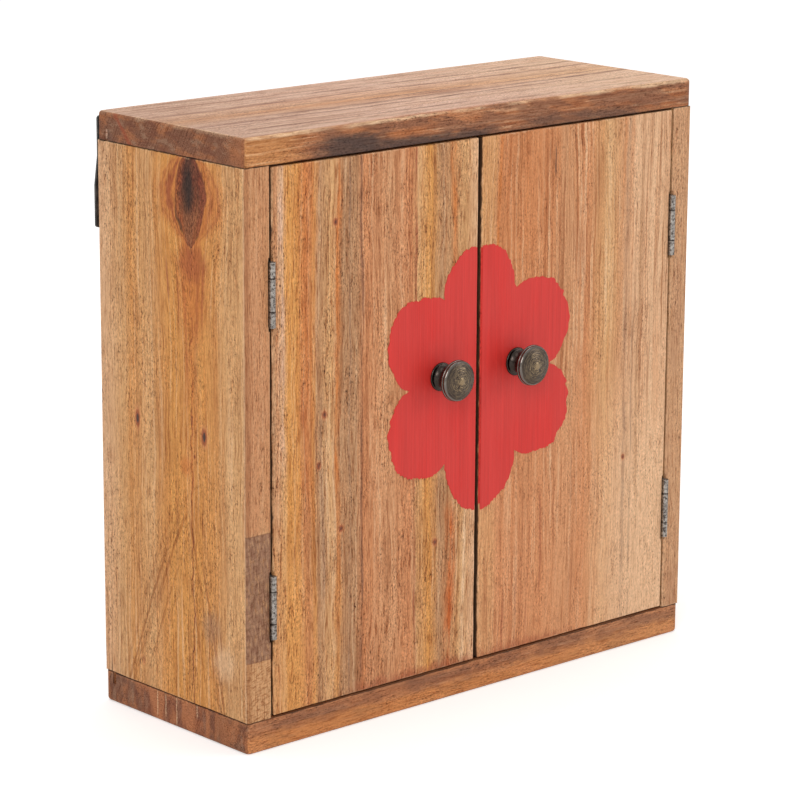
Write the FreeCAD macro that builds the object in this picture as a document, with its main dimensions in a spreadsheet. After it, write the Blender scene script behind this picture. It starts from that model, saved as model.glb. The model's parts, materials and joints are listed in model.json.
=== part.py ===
# Wall-hung medicine cabinet of reclaimed boards: a doweled box with a grooved-in back,
# one fixed shelf, two inset doors on butt hinges, turned knobs, a twin magnetic catch
# and two steel hangers. Millimetres, +Z up, front towards -Y, origin under the middle
# of the bottom board.
import FreeCAD, Part
import math
import os
import re
import Sketcher

Vector = FreeCAD.Vector

# Driving dimensions: name, value, meaning
SIZES = [
    ("cabinet_width", 400, "outside width of the box"),
    ("cabinet_height", 400, "outside height of the box"),
    ("cabinet_depth", 150, "depth of the box, doors flush with its front"),
    ("top_thick", 19, "top board"),
    ("bottom_thick", 21, "bottom board"),
    ("left_side_thick", 20, "left side board"),
    ("right_side_thick", 17, "right side board, a thinner reclaimed plank"),
    ("corner_round", 4, "worn upright corners of the top and bottom boards"),
    ("edge_round", 2.5, "worn outer edges of the top and bottom boards"),
    ("side_round", 1.5, "worn outer upright edges of the side boards"),
    ("groove_inset", 8, "wood behind the back panel's groove"),
    ("groove_depth", 8, "depth of the groove into each board"),
    ("panel_thick", 3, "plywood back panel"),
    ("panel_gap", 0.3, "play of the panel across its groove"),
    ("panel_end_gap", 1, "room for the panel to swell at the groove's bottom"),
    ("dowel_radius", 4, "beech dowel"),
    ("dowel_length", 26, "dowel, half in each board"),
    ("dowel_end_gap", 0.5, "glue room at each end of a dowel"),
    ("dowel_chamfer", 0.8, "chamfer on a dowel's ends"),
    ("dowel_clear", 0.05, "radial play of a dowel"),
    ("dowel_inset", 25, "front dowel from the front edge"),
    ("dowel_back_inset", 37, "rear dowel from the back edge, clear of the groove"),
    ("shelf_rise", 8, "top face of the shelf above mid-height"),
    ("shelf_thick", 14, "shelf board"),
    ("shelf_setback", 14.5, "shelf's front edge behind the doors"),
    ("shelf_play", 0.4, "room at the shelf's ends and back"),
    ("shelf_round", 2, "eased front edges of the shelf"),
    ("cleat_thick", 12, "shelf cleat, out from the side board"),
    ("cleat_high", 16, "shelf cleat, height"),
    ("cleat_setback", 6, "cleat's front end behind the shelf's front edge"),
    ("cleat_mitre", 9, "slanted cut under the cleat's front end"),
    ("cleat_screw_inset", 14, "cleat screw from the cleat's nearer end"),
    ("nail_inset", 30, "shelf nail from the cleat's nearer end"),
    ("nail_radius", 0.8, "shelf nail"),
    ("nail_head_radius", 1.7, "shelf nail head"),
    ("nail_head_high", 0.6, "shelf nail head, height"),
    ("nail_length", 24, "shelf nail below its head"),
    ("nail_point", 2, "pointed end of a nail"),
    ("door_thick", 18, "door board"),
    ("door_gap_top", 1.2, "gap over the doors"),
    ("door_gap_bottom", 1.4, "gap under the doors"),
    ("meeting_gap", 3.3, "gap between the two doors"),
    ("door_round", 1, "eased edges of the doors"),
    ("hinge_length", 42, "hinge leaf and barrel"),
    ("hinge_low", 95.5, "middle of the lower hinges above the underside"),
    ("hinge_drop", 100.7, "middle of the upper hinges below the top"),
    ("knuckle_radius", 2.2, "hinge barrel"),
    ("middle_knuckle", 21, "length of the frame leaf's knuckle"),
    ("knuckle_gap", 0.3, "gap between knuckles along the pin"),
    ("barrel_proud", 1.2, "pin axis in front of the doors' face"),
    ("barrel_clear", 0.4, "gap around the barrel"),
    ("barrel_notch", 2.5, "notch above and below the barrel"),
    ("pin_radius", 1.2, "hinge pin"),
    ("pin_clear", 0.05, "radial running play of the pin"),
    ("pin_chamfer", 0.4, "chamfer on the pin's ends"),
    ("leaf_thick", 1.1, "hinge leaf"),
    ("leaf_spacing", 0.6, "gap between closed leaves"),
    ("leaf_width", 15, "leaf, from the pin axis to its far edge"),
    ("leaf_play", 0.2, "room around a leaf in its mortise"),
    ("leaf_round", 1, "corners of a leaf"),
    ("mortise_depth", 0.6, "depth a leaf is let into the wood"),
    ("leaf_screw_reach", 9, "hinge screw, from the pin axis"),
    ("leaf_screw_spread", 26, "spacing of the two screws of a leaf"),
    ("leaf_screw_radius", 1.4, "hinge screw shank"),
    ("leaf_screw_length", 13, "hinge screw"),
    ("sunk_head", 0.9, "depth of a countersunk head"),
    ("screw_clear", 0.05, "radial play of a screw in its hole"),
    ("screw_point", 3, "pointed end of a screw"),
    ("slot_width", 0.7, "slot across a screw head"),
    ("slot_depth", 0.5, "depth of that slot"),
    ("cleat_screw_radius", 1.7, "cleat screw shank"),
    ("cleat_screw_length", 24, "cleat screw"),
    ("knob_inset", 32.6, "knob axis from the door's free edge"),
    ("knob_rise", 24.5, "knob axis above mid-height"),
    ("knob_base_radius", 9.6, "foot disc of the knob"),
    ("knob_base_high", 1.6, "foot disc, thickness"),
    ("knob_foot_radius", 8, "root of the knob's neck"),
    ("knob_neck_radius", 5, "narrowest part of the neck"),
    ("knob_neck_at", 8, "narrowest part above the door"),
    ("knob_neck_bend", 9, "radius of the curve at the neck's foot"),
    ("knob_flare_bend", 10, "radius of the curve under the head"),
    ("knob_head_radius", 13.8, "knob head"),
    ("knob_under", 14.6, "underside of the head's rim above the door"),
    ("knob_rim_top", 18.4, "top of the rim above the door"),
    ("knob_rim_round", 1.1, "rounding of the rim"),
    ("knob_rim_wide", 2.6, "rim, from the outside to the turned ring"),
    ("knob_ring_wide", 1, "turned ring in the face, width"),
    ("knob_ring_deep", 0.8, "turned ring, depth"),
    ("knob_crown", 20.6, "top of the face's crown above the door"),
    ("knob_crown_bend", 26, "radius of the crown"),
    ("knob_button_radius", 3.2, "raised middle of the face"),
    ("knob_button_high", 0.6, "height of that middle over the crown"),
    ("knob_bore_depth", 12, "tapped hole in the knob"),
    ("knob_screw_radius", 2, "knob screw shank"),
    ("knob_screw_grip", 10, "screw length inside the knob"),
    ("knob_screw_play", 0.3, "radial play of the screw through the door"),
    ("knob_screw_head_radius", 4, "knob screw head"),
    ("knob_screw_head_high", 2.6, "knob screw head, height"),
    ("strike_width", 14, "strike plate"),
    ("strike_high", 26, "strike plate, height"),
    ("strike_thick", 1.2, "strike plate, thickness"),
    ("strike_round", 2, "strike plate corners"),
    ("strike_inset", 1.2, "strike plate below the door's top edge"),
    ("strike_screw_rise", 6, "strike screw above the plate's lower edge"),
    ("strike_screw_length", 11, "strike screw"),
    ("catch_gap", 0.3, "pole plates to strike plate"),
    ("catch_width", 40, "catch block"),
    ("catch_deep", 13, "catch block, front to back"),
    ("catch_high", 12, "catch block, height"),
    ("catch_round", 1, "edges of the catch block"),
    ("ear_width", 9, "screw ear at each end of the catch"),
    ("ear_thick", 2.4, "screw ear, thickness"),
    ("magnet_offset", 11, "magnet from the middle of the catch"),
    ("magnet_width", 12, "magnet and pole plates"),
    ("magnet_high", 5, "magnet, height"),
    ("magnet_deep", 9, "magnet, front to back"),
    ("pole_thick", 1.2, "pole plate"),
    ("pole_proud", 0.8, "pole plates in front of the block"),
    ("pole_play", 0.1, "room around the magnet pack"),
    ("catch_screw_radius", 1.5, "catch screw shank"),
    ("catch_screw_length", 12, "catch screw below its head"),
    ("catch_screw_head_radius", 2.9, "catch screw head"),
    ("catch_screw_head_high", 1.8, "catch screw head, height"),
    ("hanger_width", 14, "hanger strip"),
    ("hanger_thick", 1.6, "hanger strip, thickness"),
    ("hanger_inset", 1, "hanger from the cabinet's side"),
    ("hanger_top_inset", 4, "hanger below the cabinet's top"),
    ("hanger_flange", 26, "flat part screwed to the boards, height"),
    ("hanger_joggle", 20, "slanted part, height"),
    ("hanger_tongue", 28, "free part, height"),
    ("hanger_offset", 3.4, "free part behind the boards"),
    ("hanger_round", 2, "corners of the hanger"),
    ("hanger_bend", 3, "rounding of the bends"),
    ("keyhole_radius", 4.4, "entry hole for a wall screw's head"),
    ("keyhole_rise", 9, "entry hole above the hanger's lower end"),
    ("keyhole_slot_radius", 2.3, "half the width of the keyhole's slot"),
    ("keyhole_slot_length", 11, "slot's seat above the entry hole"),
    ("hanger_screw_high", 7, "upper hanger screw below the hanger's top"),
    ("hanger_screw_low", 20, "lower hanger screw below the hanger's top"),
    ("hanger_screw_radius", 1.6, "hanger screw shank"),
    ("hanger_screw_length", 16, "hanger screw below its head"),
    ("hanger_screw_head_radius", 3.2, "hanger screw head"),
    ("hanger_screw_head_high", 2, "hanger screw head, height"),
]
DOWELS_PER_JOINT = 3

# Places worked out from the driving dimensions, all in the cabinet's frame
DERIVED = {
    "left_face": "-cabinet_width / 2",
    "right_face": "cabinet_width / 2",
    "front_face": "-cabinet_depth / 2",
    "back_face": "cabinet_depth / 2",
    "floor": "bottom_thick",
    "ceiling": "cabinet_height - top_thick",
    "side_high": "ceiling - floor",
    "left_inner": "left_face + left_side_thick",
    "right_inner": "right_face - right_side_thick",
    "left_middle": "left_face + left_side_thick / 2",
    "right_middle": "right_face - right_side_thick / 2",
    "groove_back": "back_face - groove_inset",
    "groove_front": "groove_back - panel_thick - panel_gap",
    "panel_front": "groove_front + panel_gap / 2",
    "panel_reach": "groove_depth - panel_end_gap",
    "dowel_depth": "dowel_length / 2 + dowel_end_gap",
    "dowel_first": "front_face + dowel_inset",
    "dowel_pitch": f"(cabinet_depth - dowel_inset - dowel_back_inset) / {DOWELS_PER_JOINT - 1}",
    "shelf_height": "cabinet_height / 2 + shelf_rise",
    "shelf_under": "shelf_height - shelf_thick",
    "shelf_back": "panel_front - shelf_play",
    "shelf_front": "door_inner + shelf_setback",
    "cleat_front": "shelf_front + cleat_setback",
    "cleat_under": "shelf_under - cleat_high",
    "cleat_middle": "shelf_under - cleat_high / 2",
    "hinge_high": "cabinet_height - hinge_drop",
    "hinge_gap": "leaf_spacing + 2 * leaf_thick - 2 * mortise_depth",
    "pin_y": "front_face - barrel_proud",
    "left_pin_x": "left_inner + hinge_gap / 2",
    "right_pin_x": "right_inner - hinge_gap / 2",
    "relief_radius": "knuckle_radius + barrel_clear",
    "door_low": "floor + door_gap_bottom",
    "door_top": "ceiling - door_gap_top",
    "door_inner": "front_face + door_thick",
    "left_door_left": "left_inner + hinge_gap",
    "left_door_right": "-meeting_gap / 2",
    "right_door_left": "meeting_gap / 2",
    "right_door_right": "right_inner - hinge_gap",
    "knob_height": "cabinet_height / 2 + knob_rise",
    "left_knob_x": "left_door_right - knob_inset",
    "right_knob_x": "right_door_left + knob_inset",
    "knob_bore_radius": "knob_screw_radius + screw_clear",
    "knob_hole_radius": "knob_screw_radius + knob_screw_play",
    "strike_top": "door_top - strike_inset",
    "strike_low": "strike_top - strike_high",
    "strike_face": "door_inner + strike_thick",
    "pole_front": "strike_face + catch_gap",
    "catch_front": "pole_front + pole_proud",
    "catch_back": "catch_front + catch_deep",
    "catch_low": "ceiling - catch_high",
    "catch_screw_x": "catch_width / 2 + ear_width / 2",
    "catch_screw_y": "catch_front + catch_deep / 2",
    "pack_high": "magnet_high + 2 * pole_thick",
    "pack_middle": "ceiling - catch_high / 2",
    "pack_back": "catch_front + magnet_deep",
    "hanger_top": "cabinet_height - hanger_top_inset",
    "hanger_bend_high": "hanger_top - hanger_flange",
    "hanger_bend_low": "hanger_bend_high - hanger_joggle",
    "hanger_low": "hanger_bend_low - hanger_tongue",
    "hanger_outer": "back_face + hanger_thick",
    "tongue_inner": "back_face + hanger_offset",
    "tongue_outer": "tongue_inner + hanger_thick",
    "left_hanger_x": "left_face + hanger_inset + hanger_width / 2",
    "right_hanger_x": "right_face - hanger_inset - hanger_width / 2",
    "keyhole_z": "hanger_low + keyhole_rise",
}
HINGE_HEIGHTS = {"lower": "hinge_low", "upper": "hinge_high"}
SIDES = ("left", "right")

doc = FreeCAD.newDocument("medicine_cabinet")
sheet = doc.addObject("Spreadsheet::Sheet", "Sizes")
for row, (alias, number, meaning) in enumerate(SIZES, start=1):
    sheet.set(f"A{row}", meaning)
    sheet.set(f"B{row}", str(number))
    sheet.setAlias(f"B{row}", alias)
doc.recompute()
ALIASES = {alias for alias, number, meaning in SIZES}


def formula(text):
    """Write a size formula with its names pointed at the sheet's cells."""
    def expand(match):
        name = match.group()
        if name in ALIASES:
            return f"Sizes.{name}"
        return f"({formula(DERIVED[name])})"
    return re.sub(r"[a-z_]+", expand, str(text))


def value(text):
    """Number that a size formula has now."""
    return float(sheet.evalExpression(formula(text)))


# Sketch planes: role, horizontal axis, vertical axis, normal axis, sense of the normal
PLANES = {
    "XY": ("XY_Plane", "x", "y", "z", 1),
    "XZ": ("XZ_Plane", "x", "z", "y", -1),
    "YZ": ("YZ_Plane", "y", "z", "x", 1),
}


class Outline:
    """A sketch of one piece, with every point bound to the sheet."""

    def __init__(self, piece, plane, at="0"):
        role, self.across, self.along, normal, self.sense = PLANES[plane]
        self.piece = piece
        self.sketch = piece.body.newObject("Sketcher::SketchObject", "Sketch")
        features = piece.body.Origin.OriginFeatures
        support = next(item for item in features if item.Role == role)
        self.sketch.AttachmentSupport = (support, [""])
        self.sketch.MapMode = "FlatFace"
        height = piece.local(normal, at)
        sign = "" if self.sense > 0 else "-1 * "
        self.sketch.setExpression("AttachmentOffset.Base.z", formula(f"{sign}({height})"))

    def bind(self, kind, *reference, size):
        number = value(size)
        index = self.sketch.addConstraint(Sketcher.Constraint(kind, *reference, number))
        self.sketch.setExpression(f"Constraints[{index}]", formula(size))

    def fix(self, geometry, end, across, along):
        """Bind one point's two coordinates."""
        for kind, axis, text in (("DistanceX", self.across, across), ("DistanceY", self.along, along)):
            size = self.piece.local(axis, text)
            self.bind(kind, -1, 1, geometry, end, size=size)

    def point(self, across, along):
        places = [self.piece.local(self.across, across), self.piece.local(self.along, along)]
        return Vector(*[value(place) for place in places])

    def rectangle(self, across_from, along_from, across_to, along_to):
        corners = [(across_from, along_from), (across_to, along_from),
                   (across_to, along_to), (across_from, along_to)]
        return self.path(corners)

    def circle(self, across, along, radius):
        ring = Part.Circle(self.point(across, along), Vector(0, 0, 1), value(radius))
        index = self.sketch.addGeometry(ring)
        self.bind("Radius", index, size=radius)
        self.fix(index, 3, across, along)
        return self

    def path(self, points, bends=None):
        """Closed outline through the points; bends gives arcs: first point's number to radius and turn."""
        bends = bends or {}
        ends = []
        for number, start in enumerate(points):
            stop = points[(number + 1) % len(points)]
            first, last = self.point(*start), self.point(*stop)
            if number not in bends:
                index = self.sketch.addGeometry(Part.LineSegment(first, last))
                ends.append((index, 1, 2))
                continue
            radius, turn = bends[number]
            bend, forward = short_arc(first, last, value(radius), turn)
            index = self.sketch.addGeometry(bend)
            ends.append((index, 1, 2) if forward else (index, 2, 1))
            self.bind("Radius", index, size=radius)
        for number, (index, first_end, last_end) in enumerate(ends):
            following, following_end = ends[(number + 1) % len(ends)][:2]
            self.sketch.addConstraint(
                Sketcher.Constraint("Coincident", index, last_end, following, following_end))
            self.fix(index, first_end, *points[number])
        return self


def short_arc(first, last, radius, turn):
    """Arc between two points, bulging left (turn 1) or right (-1) of the way, and if it runs forward."""
    chord = last - first
    left = Vector(-chord.y, chord.x, 0).normalize()
    reach = math.sqrt(radius * radius - chord.Length * chord.Length / 4)
    centre = (first + last) * 0.5 - left * (reach * turn)
    angles = [math.atan2(point.y - centre.y, point.x - centre.x) for point in (first, last)]
    forward = turn < 0
    start, stop = angles if forward else reversed(angles)
    return Part.ArcOfCircle(Part.Circle(centre, Vector(0, 0, 1), radius), start, stop), forward


class Piece:
    """One sub-part: a body whose corner is placed in the cabinet's frame."""

    def __init__(self, label, x="0", y="0", z="0"):
        self.corner = {"x": x, "y": y, "z": z}
        self.body = doc.addObject("PartDesign::Body", label)
        self.body.Label = label
        for axis, text in self.corner.items():
            self.body.setExpression(f"Placement.Base.{axis}", formula(text))

    def local(self, axis, text):
        if self.corner[axis] == "0":
            return text
        return f"({text}) - ({self.corner[axis]})"

    def finish(self, feature, sense):
        """Recompute, and make sure that the feature added (1), removed (-1) or dressed (0) something."""
        before = self.body.Tip.Shape.copy() if self.body.Tip else Part.Compound([])
        self.body.Tip = feature
        doc.recompute()
        change = (feature.Shape.Volume - before.Volume) * sense
        if sense == 0:
            change = len(feature.Shape.Faces) - len(before.Faces)
        if change <= 0:
            raise ValueError(f"{self.body.Label}: {feature.Label} changes nothing")
        return self

    def feature(self, kind, outline, reverse):
        before = self.body.Tip
        feature = self.body.newObject(f"PartDesign::{kind}", kind)
        self.body.Tip = before
        feature.Profile = outline.sketch
        feature.Reversed = reverse
        return feature

    def pad(self, outline, length):
        """Grow the outline along its plane's axis, towards plus."""
        feature = self.feature("Pad", outline, outline.sense < 0)
        feature.setExpression("Length", formula(length))
        return self.finish(feature, 1)

    def pocket(self, outline, depth, towards):
        """Cut the outline along its plane's axis, towards plus (1) or minus (-1)."""
        feature = self.feature("Pocket", outline, towards * outline.sense > 0)
        feature.setExpression("Length", formula(depth))
        return self.finish(feature, -1)

    def revolve(self, outline):
        feature = self.feature("Revolution", outline, False)
        feature.ReferenceAxis = (outline.sketch, ["V_Axis"])
        feature.Angle = 360
        return self.finish(feature, 1)

    def dress(self, kind, size_name, size, wanted):
        """Fillet or chamfer the edges of the body that the test wants."""
        base = self.body.Tip
        names = [f"Edge{number}" for number, edge in enumerate(base.Shape.Edges, start=1) if wanted(edge)]
        if not names:
            raise ValueError(f"{self.body.Label}: no edge to {kind}")
        feature = self.body.newObject(f"PartDesign::{kind}", kind)
        self.body.Tip = base
        feature.Base = (base, names)
        feature.setExpression(size_name, formula(size))
        return self.finish(feature, 0)

    def fillet(self, radius, wanted):
        return self.dress("Fillet", "Radius", radius, wanted)

    def chamfer(self, size, wanted):
        return self.dress("Chamfer", "Size", size, wanted)

    def level(self, axis, text):
        """A place along an axis, in the body's own frame."""
        return value(self.local(axis, text))


TOLERANCE = 1e-4


def runs_along(axis):
    """Edge test: a straight edge along one axis."""
    def test(edge):
        box = edge.BoundBox
        spans = {"x": box.XLength, "y": box.YLength, "z": box.ZLength}
        return spans.pop(axis) > TOLERANCE and max(spans.values()) < TOLERANCE
    return test


def lies_at(axis, place):
    """Edge test: the whole edge is at one place along an axis."""
    def test(edge):
        box = edge.BoundBox
        low, high = {"x": (box.XMin, box.XMax), "y": (box.YMin, box.YMax), "z": (box.ZMin, box.ZMax)}[axis]
        return abs(low - place) < TOLERANCE and abs(high - place) < TOLERANCE
    return test


def both(*tests):
    return lambda edge: all(test(edge) for test in tests)


def either(*tests):
    return lambda edge: any(test(edge) for test in tests)


def is_ring(edge):
    return edge.isClosed()


def block(label, x, y, z):
    """Piece with a plain rectangular start: each axis gives its low and high place."""
    piece = Piece(label, x[0], y[0], z[0])
    base = Outline(piece, "XY", z[0]).rectangle(x[0], y[0], x[1], y[1])
    return piece.pad(base, f"({z[1]}) - ({z[0]})")


def holes(piece, plane, at, spots, radius, depth, towards):
    """Round holes of one size, cut from one plane."""
    outline = Outline(piece, plane, at)
    for across, along in spots:
        outline.circle(across, along, radius)
    return piece.pocket(outline, depth, towards)


def dowel_rows():
    return [f"dowel_first + {number} * dowel_pitch" for number in range(DOWELS_PER_JOINT)]


# Screws, nails and dowels: one master of each, linked to every place it is used
def turned(label, points, bends=None):
    """Piece turned about its own upright axis from a profile of radius and height."""
    piece = Piece(label)
    return piece.revolve(Outline(piece, "XZ").path(points, bends))


def shank(radius, length):
    return [(radius, f"screw_point - ({length})"), ("0", f"-1 * ({length})")]


def slotted(piece, head_radius, head_top):
    slot = Outline(piece, "XY", head_top)
    slot.rectangle(f"-2 * ({head_radius})", "-slot_width / 2", f"2 * ({head_radius})", "slot_width / 2")
    return piece.pocket(slot, "slot_depth", -1)


def sunk_screw(label, radius, length):
    """Countersunk screw: head flush with height 0, point downwards."""
    head = f"({radius}) + sunk_head"
    piece = turned(label, [("0", "0"), (head, "0"), (radius, "-sunk_head")] + shank(radius, length))
    return slotted(piece, head, "0")


def pan_screw(label, radius, length, head_radius, head_high):
    """Pan-head screw: head standing on height 0, point downwards."""
    profile = [("0", head_high), (head_radius, head_high), (head_radius, "0"), (radius, "0")]
    piece = turned(label, profile + shank(radius, length))
    piece.fillet(f"({head_high}) / 2", both(is_ring, lies_at("z", value(head_high))))
    return slotted(piece, head_radius, head_high)


# Turns that bring a master's downward point to the named direction
POINTING = {
    "-z": FreeCAD.Rotation(),
    "+z": FreeCAD.Rotation(Vector(1, 0, 0), 180),
    "-x": FreeCAD.Rotation(Vector(0, 1, 0), 90),
    "+x": FreeCAD.Rotation(Vector(0, 1, 0), -90),
    "-y": FreeCAD.Rotation(Vector(1, 0, 0), -90),
    "+y": FreeCAD.Rotation(Vector(1, 0, 0), 90),
}
groups = []


def group(label, master, spots):
    """Copies of a master at their places, as one sub-part: x, y, z, direction of the point."""
    links = []
    for number, (x, y, z, pointing) in enumerate(spots, start=1):
        link = doc.addObject("App::Link", f"{label}_{number}")
        link.setLink(master.body)
        link.Placement = FreeCAD.Placement(Vector(), POINTING[pointing])
        for axis, text in zip("xyz", (x, y, z)):
            link.setExpression(f"Placement.Base.{axis}", formula(text))
        links.append(link)
    compound = doc.addObject("Part::Compound", label)
    compound.Label = label
    compound.Links = links
    doc.recompute()
    groups.append(compound)


pieces = []


def keep(piece):
    pieces.append(piece.body)
    return piece


# Where things go on each side: the side's sense is -1 on the left and 1 on the right
SENSE = {"left": -1, "right": 1}
HINGES = [(side, level) for side in SIDES for level in HINGE_HEIGHTS]
LEAF_SCREW_HEIGHTS = ("-leaf_screw_spread / 2", "leaf_screw_spread / 2")
CLEAT_SCREW_ROWS = ("cleat_front + cleat_screw_inset", "shelf_back - cleat_screw_inset")
NAIL_ROWS = ("cleat_front + nail_inset", "shelf_back - nail_inset")


def leaf_screw_spots(level):
    """Depth and height of the screws of a hinge leaf."""
    middle = HINGE_HEIGHTS[level]
    return [("pin_y + leaf_screw_reach", f"{middle} + ({rise})") for rise in LEAF_SCREW_HEIGHTS]


def seat_hinges(piece, side, face, towards):
    """Cut the mortises, barrel notches and screw holes of one side's hinges into a board's face."""
    for level in HINGE_HEIGHTS:
        middle = HINGE_HEIGHTS[level]
        low = f"{middle} - hinge_length / 2"
        mortise = Outline(piece, "YZ", face)
        mortise.rectangle("pin_y", f"{low} - leaf_play",
                          "pin_y + leaf_width + leaf_play", f"{middle} + hinge_length / 2 + leaf_play")
        piece.pocket(mortise, "mortise_depth", towards)
        notch = Outline(piece, "XY", f"{low} - barrel_notch")
        notch.circle(f"{side}_pin_x", "pin_y", "relief_radius")
        piece.pocket(notch, "hinge_length + 2 * barrel_notch", 1)
        holes(piece, "YZ", face, leaf_screw_spots(level), "leaf_screw_radius + screw_clear",
              "leaf_screw_length", towards)
    return piece


# Top and bottom boards
def end_board(label, low, high, outer, inner, into):
    """Full-width board with worn outer edges, the panel's groove and the dowel holes."""
    board = block(label, ("left_face", "right_face"), ("front_face", "back_face"), (low, high))
    board.fillet("corner_round", runs_along("z"))
    board.fillet("edge_round", lies_at("z", board.level("z", outer)))
    groove = Outline(board, "YZ", "left_face")
    groove.rectangle("groove_front", inner, "groove_back", f"{inner} + {into} * groove_depth")
    board.pocket(groove, "cabinet_width", 1)
    spots = [(f"{side}_middle", row) for side in SIDES for row in dowel_rows()]
    return holes(board, "XY", inner, spots, "dowel_radius + dowel_clear", "dowel_depth", into)


top = keep(end_board("top_board", "ceiling", "cabinet_height", "cabinet_height", "ceiling", 1))
keep(end_board("bottom_board", "0", "floor", "0", "floor", -1))
catch_spots = [(f"{sense} * catch_screw_x", "catch_screw_y") for sense in SENSE.values()]
holes(top, "XY", "ceiling", catch_spots, "catch_screw_radius + screw_clear", "catch_screw_length", 1)
hanger_spots = [(f"{side}_hanger_x", "hanger_top - hanger_screw_high") for side in SIDES]
holes(top, "XZ", "back_face", hanger_spots, "hanger_screw_radius + screw_clear", "hanger_screw_length", -1)


# Side boards
def side_board(side):
    sense = SENSE[side]
    faces = sorted((f"{side}_face", f"{side}_inner"), key=value)
    board = block(f"{side}_side", faces, ("front_face", "back_face"), ("floor", "ceiling"))
    outer = lies_at("x", board.level("x", f"{side}_face"))
    board.fillet("side_round", both(runs_along("z"), outer))
    inner = f"{side}_inner"
    groove = Outline(board, "XY", "floor")
    groove.rectangle(inner, "groove_front", f"{inner} + {sense} * groove_depth", "groove_back")
    board.pocket(groove, "side_high", 1)
    dowel_spots = [(f"{side}_middle", row) for row in dowel_rows()]
    for end, into in (("floor", 1), ("ceiling", -1)):
        holes(board, "XY", end, dowel_spots, "dowel_radius + dowel_clear", "dowel_depth", into)
    seat_hinges(board, side, inner, sense)
    cleat_spots = [(row, "cleat_middle") for row in CLEAT_SCREW_ROWS]
    holes(board, "YZ", inner, cleat_spots, "cleat_screw_radius + screw_clear",
          "cleat_screw_length - cleat_thick", sense)
    low_screw = [(f"{side}_hanger_x", "hanger_top - hanger_screw_low")]
    return holes(board, "XZ", "back_face", low_screw, "hanger_screw_radius + screw_clear",
                 "hanger_screw_length", -1)


for side in SIDES:
    keep(side_board(side))

# Back panel, held in the grooves of all four boards
keep(block("back_panel",
           ("left_inner - panel_reach", "right_inner + panel_reach"),
           ("panel_front", "panel_front + panel_thick"),
           ("floor - panel_reach", "ceiling + panel_reach")))

# Shelf and its cleats
shelf = keep(block("shelf",
                   ("left_inner + shelf_play", "right_inner - shelf_play"),
                   ("shelf_front", "shelf_back"),
                   ("shelf_under", "shelf_height")))
shelf.fillet("shelf_round", both(runs_along("x"), lies_at("y", shelf.level("y", "shelf_front"))))


def nail_x(side):
    return f"{side}_inner - {SENSE[side]} * cleat_thick / 2"


nail_spots = [(nail_x(side), row) for side in SIDES for row in NAIL_ROWS]
holes(shelf, "XY", "shelf_height", nail_spots, "nail_radius + screw_clear", "shelf_thick", -1)


def cleat(side):
    """Bar under one end of the shelf, its front end cut back on a slant."""
    sense = SENSE[side]
    bounds = sorted((f"{side}_inner", f"{side}_inner - {sense} * cleat_thick"), key=value)
    bar = Piece(f"{side}_shelf_cleat", bounds[0], "cleat_front", "cleat_under")
    profile = Outline(bar, "YZ", bounds[0])
    profile.path([("cleat_front + cleat_mitre", "cleat_under"), ("shelf_back", "cleat_under"),
                  ("shelf_back", "shelf_under"), ("cleat_front", "shelf_under"),
                  ("cleat_front", "cleat_under + cleat_mitre")])
    bar.pad(profile, "cleat_thick")
    face = f"{side}_inner - {sense} * cleat_thick"
    spots = [(row, "cleat_middle") for row in CLEAT_SCREW_ROWS]
    holes(bar, "YZ", face, spots, "cleat_screw_radius + screw_clear", "cleat_thick", sense)
    bar.chamfer("sunk_head", both(is_ring, lies_at("x", bar.level("x", face))))
    nails = [(nail_x(side), row) for row in NAIL_ROWS]
    return holes(bar, "XY", "shelf_under", nails, "nail_radius + screw_clear",
                 "nail_length - shelf_thick", -1)


for side in SIDES:
    keep(cleat(side))


# Butt hinges: the frame leaf carries the middle knuckle, the door leaf the two end knuckles
def hinge_leaf(side, level, owner):
    """One leaf with its knuckles, pin bore and countersunk holes."""
    pin_x = f"{side}_pin_x"
    middle = HINGE_HEIGHTS[level]
    outward = SENSE[side] if owner == "frame" else -SENSE[side]
    inner_face = f"{pin_x} + {outward} * leaf_spacing / 2"
    outer_face = f"{inner_face} + {outward} * leaf_thick"
    low_face = inner_face if outward > 0 else outer_face
    top_half = "middle_knuckle / 2"
    if owner == "frame":
        spans = [(f"{middle} - {top_half}", f"{middle} + {top_half}")]
    else:
        spans = [(f"{middle} + {top_half} + knuckle_gap", f"{middle} + hinge_length / 2"),
                 (f"{middle} - hinge_length / 2", f"{middle} - {top_half} - knuckle_gap")]
    low = f"{middle} - hinge_length / 2"
    leaf = Piece(f"{side}_{level}_{owner}_leaf", pin_x, "pin_y", low)
    plate = Outline(leaf, "YZ", low_face)
    plate.rectangle("pin_y + relief_radius", low, "pin_y + leaf_width", f"{middle} + hinge_length / 2")
    leaf.pad(plate, "leaf_thick")
    far_edge = lies_at("y", leaf.level("y", "pin_y + leaf_width"))
    leaf.fillet("leaf_round", both(runs_along("x"), far_edge))
    for bottom, upper in spans:
        tongue = Outline(leaf, "YZ", low_face).rectangle("pin_y", bottom, "pin_y + relief_radius", upper)
        leaf.pad(tongue, "leaf_thick")
        knuckle = Outline(leaf, "XY", bottom).circle(pin_x, "pin_y", "knuckle_radius")
        leaf.pad(knuckle, f"({upper}) - ({bottom})")
    bore = Outline(leaf, "XY", low).circle(pin_x, "pin_y", "pin_radius + pin_clear")
    leaf.pocket(bore, "hinge_length", 1)
    holes(leaf, "YZ", inner_face, leaf_screw_spots(level), "leaf_screw_radius + screw_clear",
          "leaf_thick", outward)
    return leaf.chamfer("sunk_head", both(is_ring, lies_at("x", leaf.level("x", inner_face))))


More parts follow.
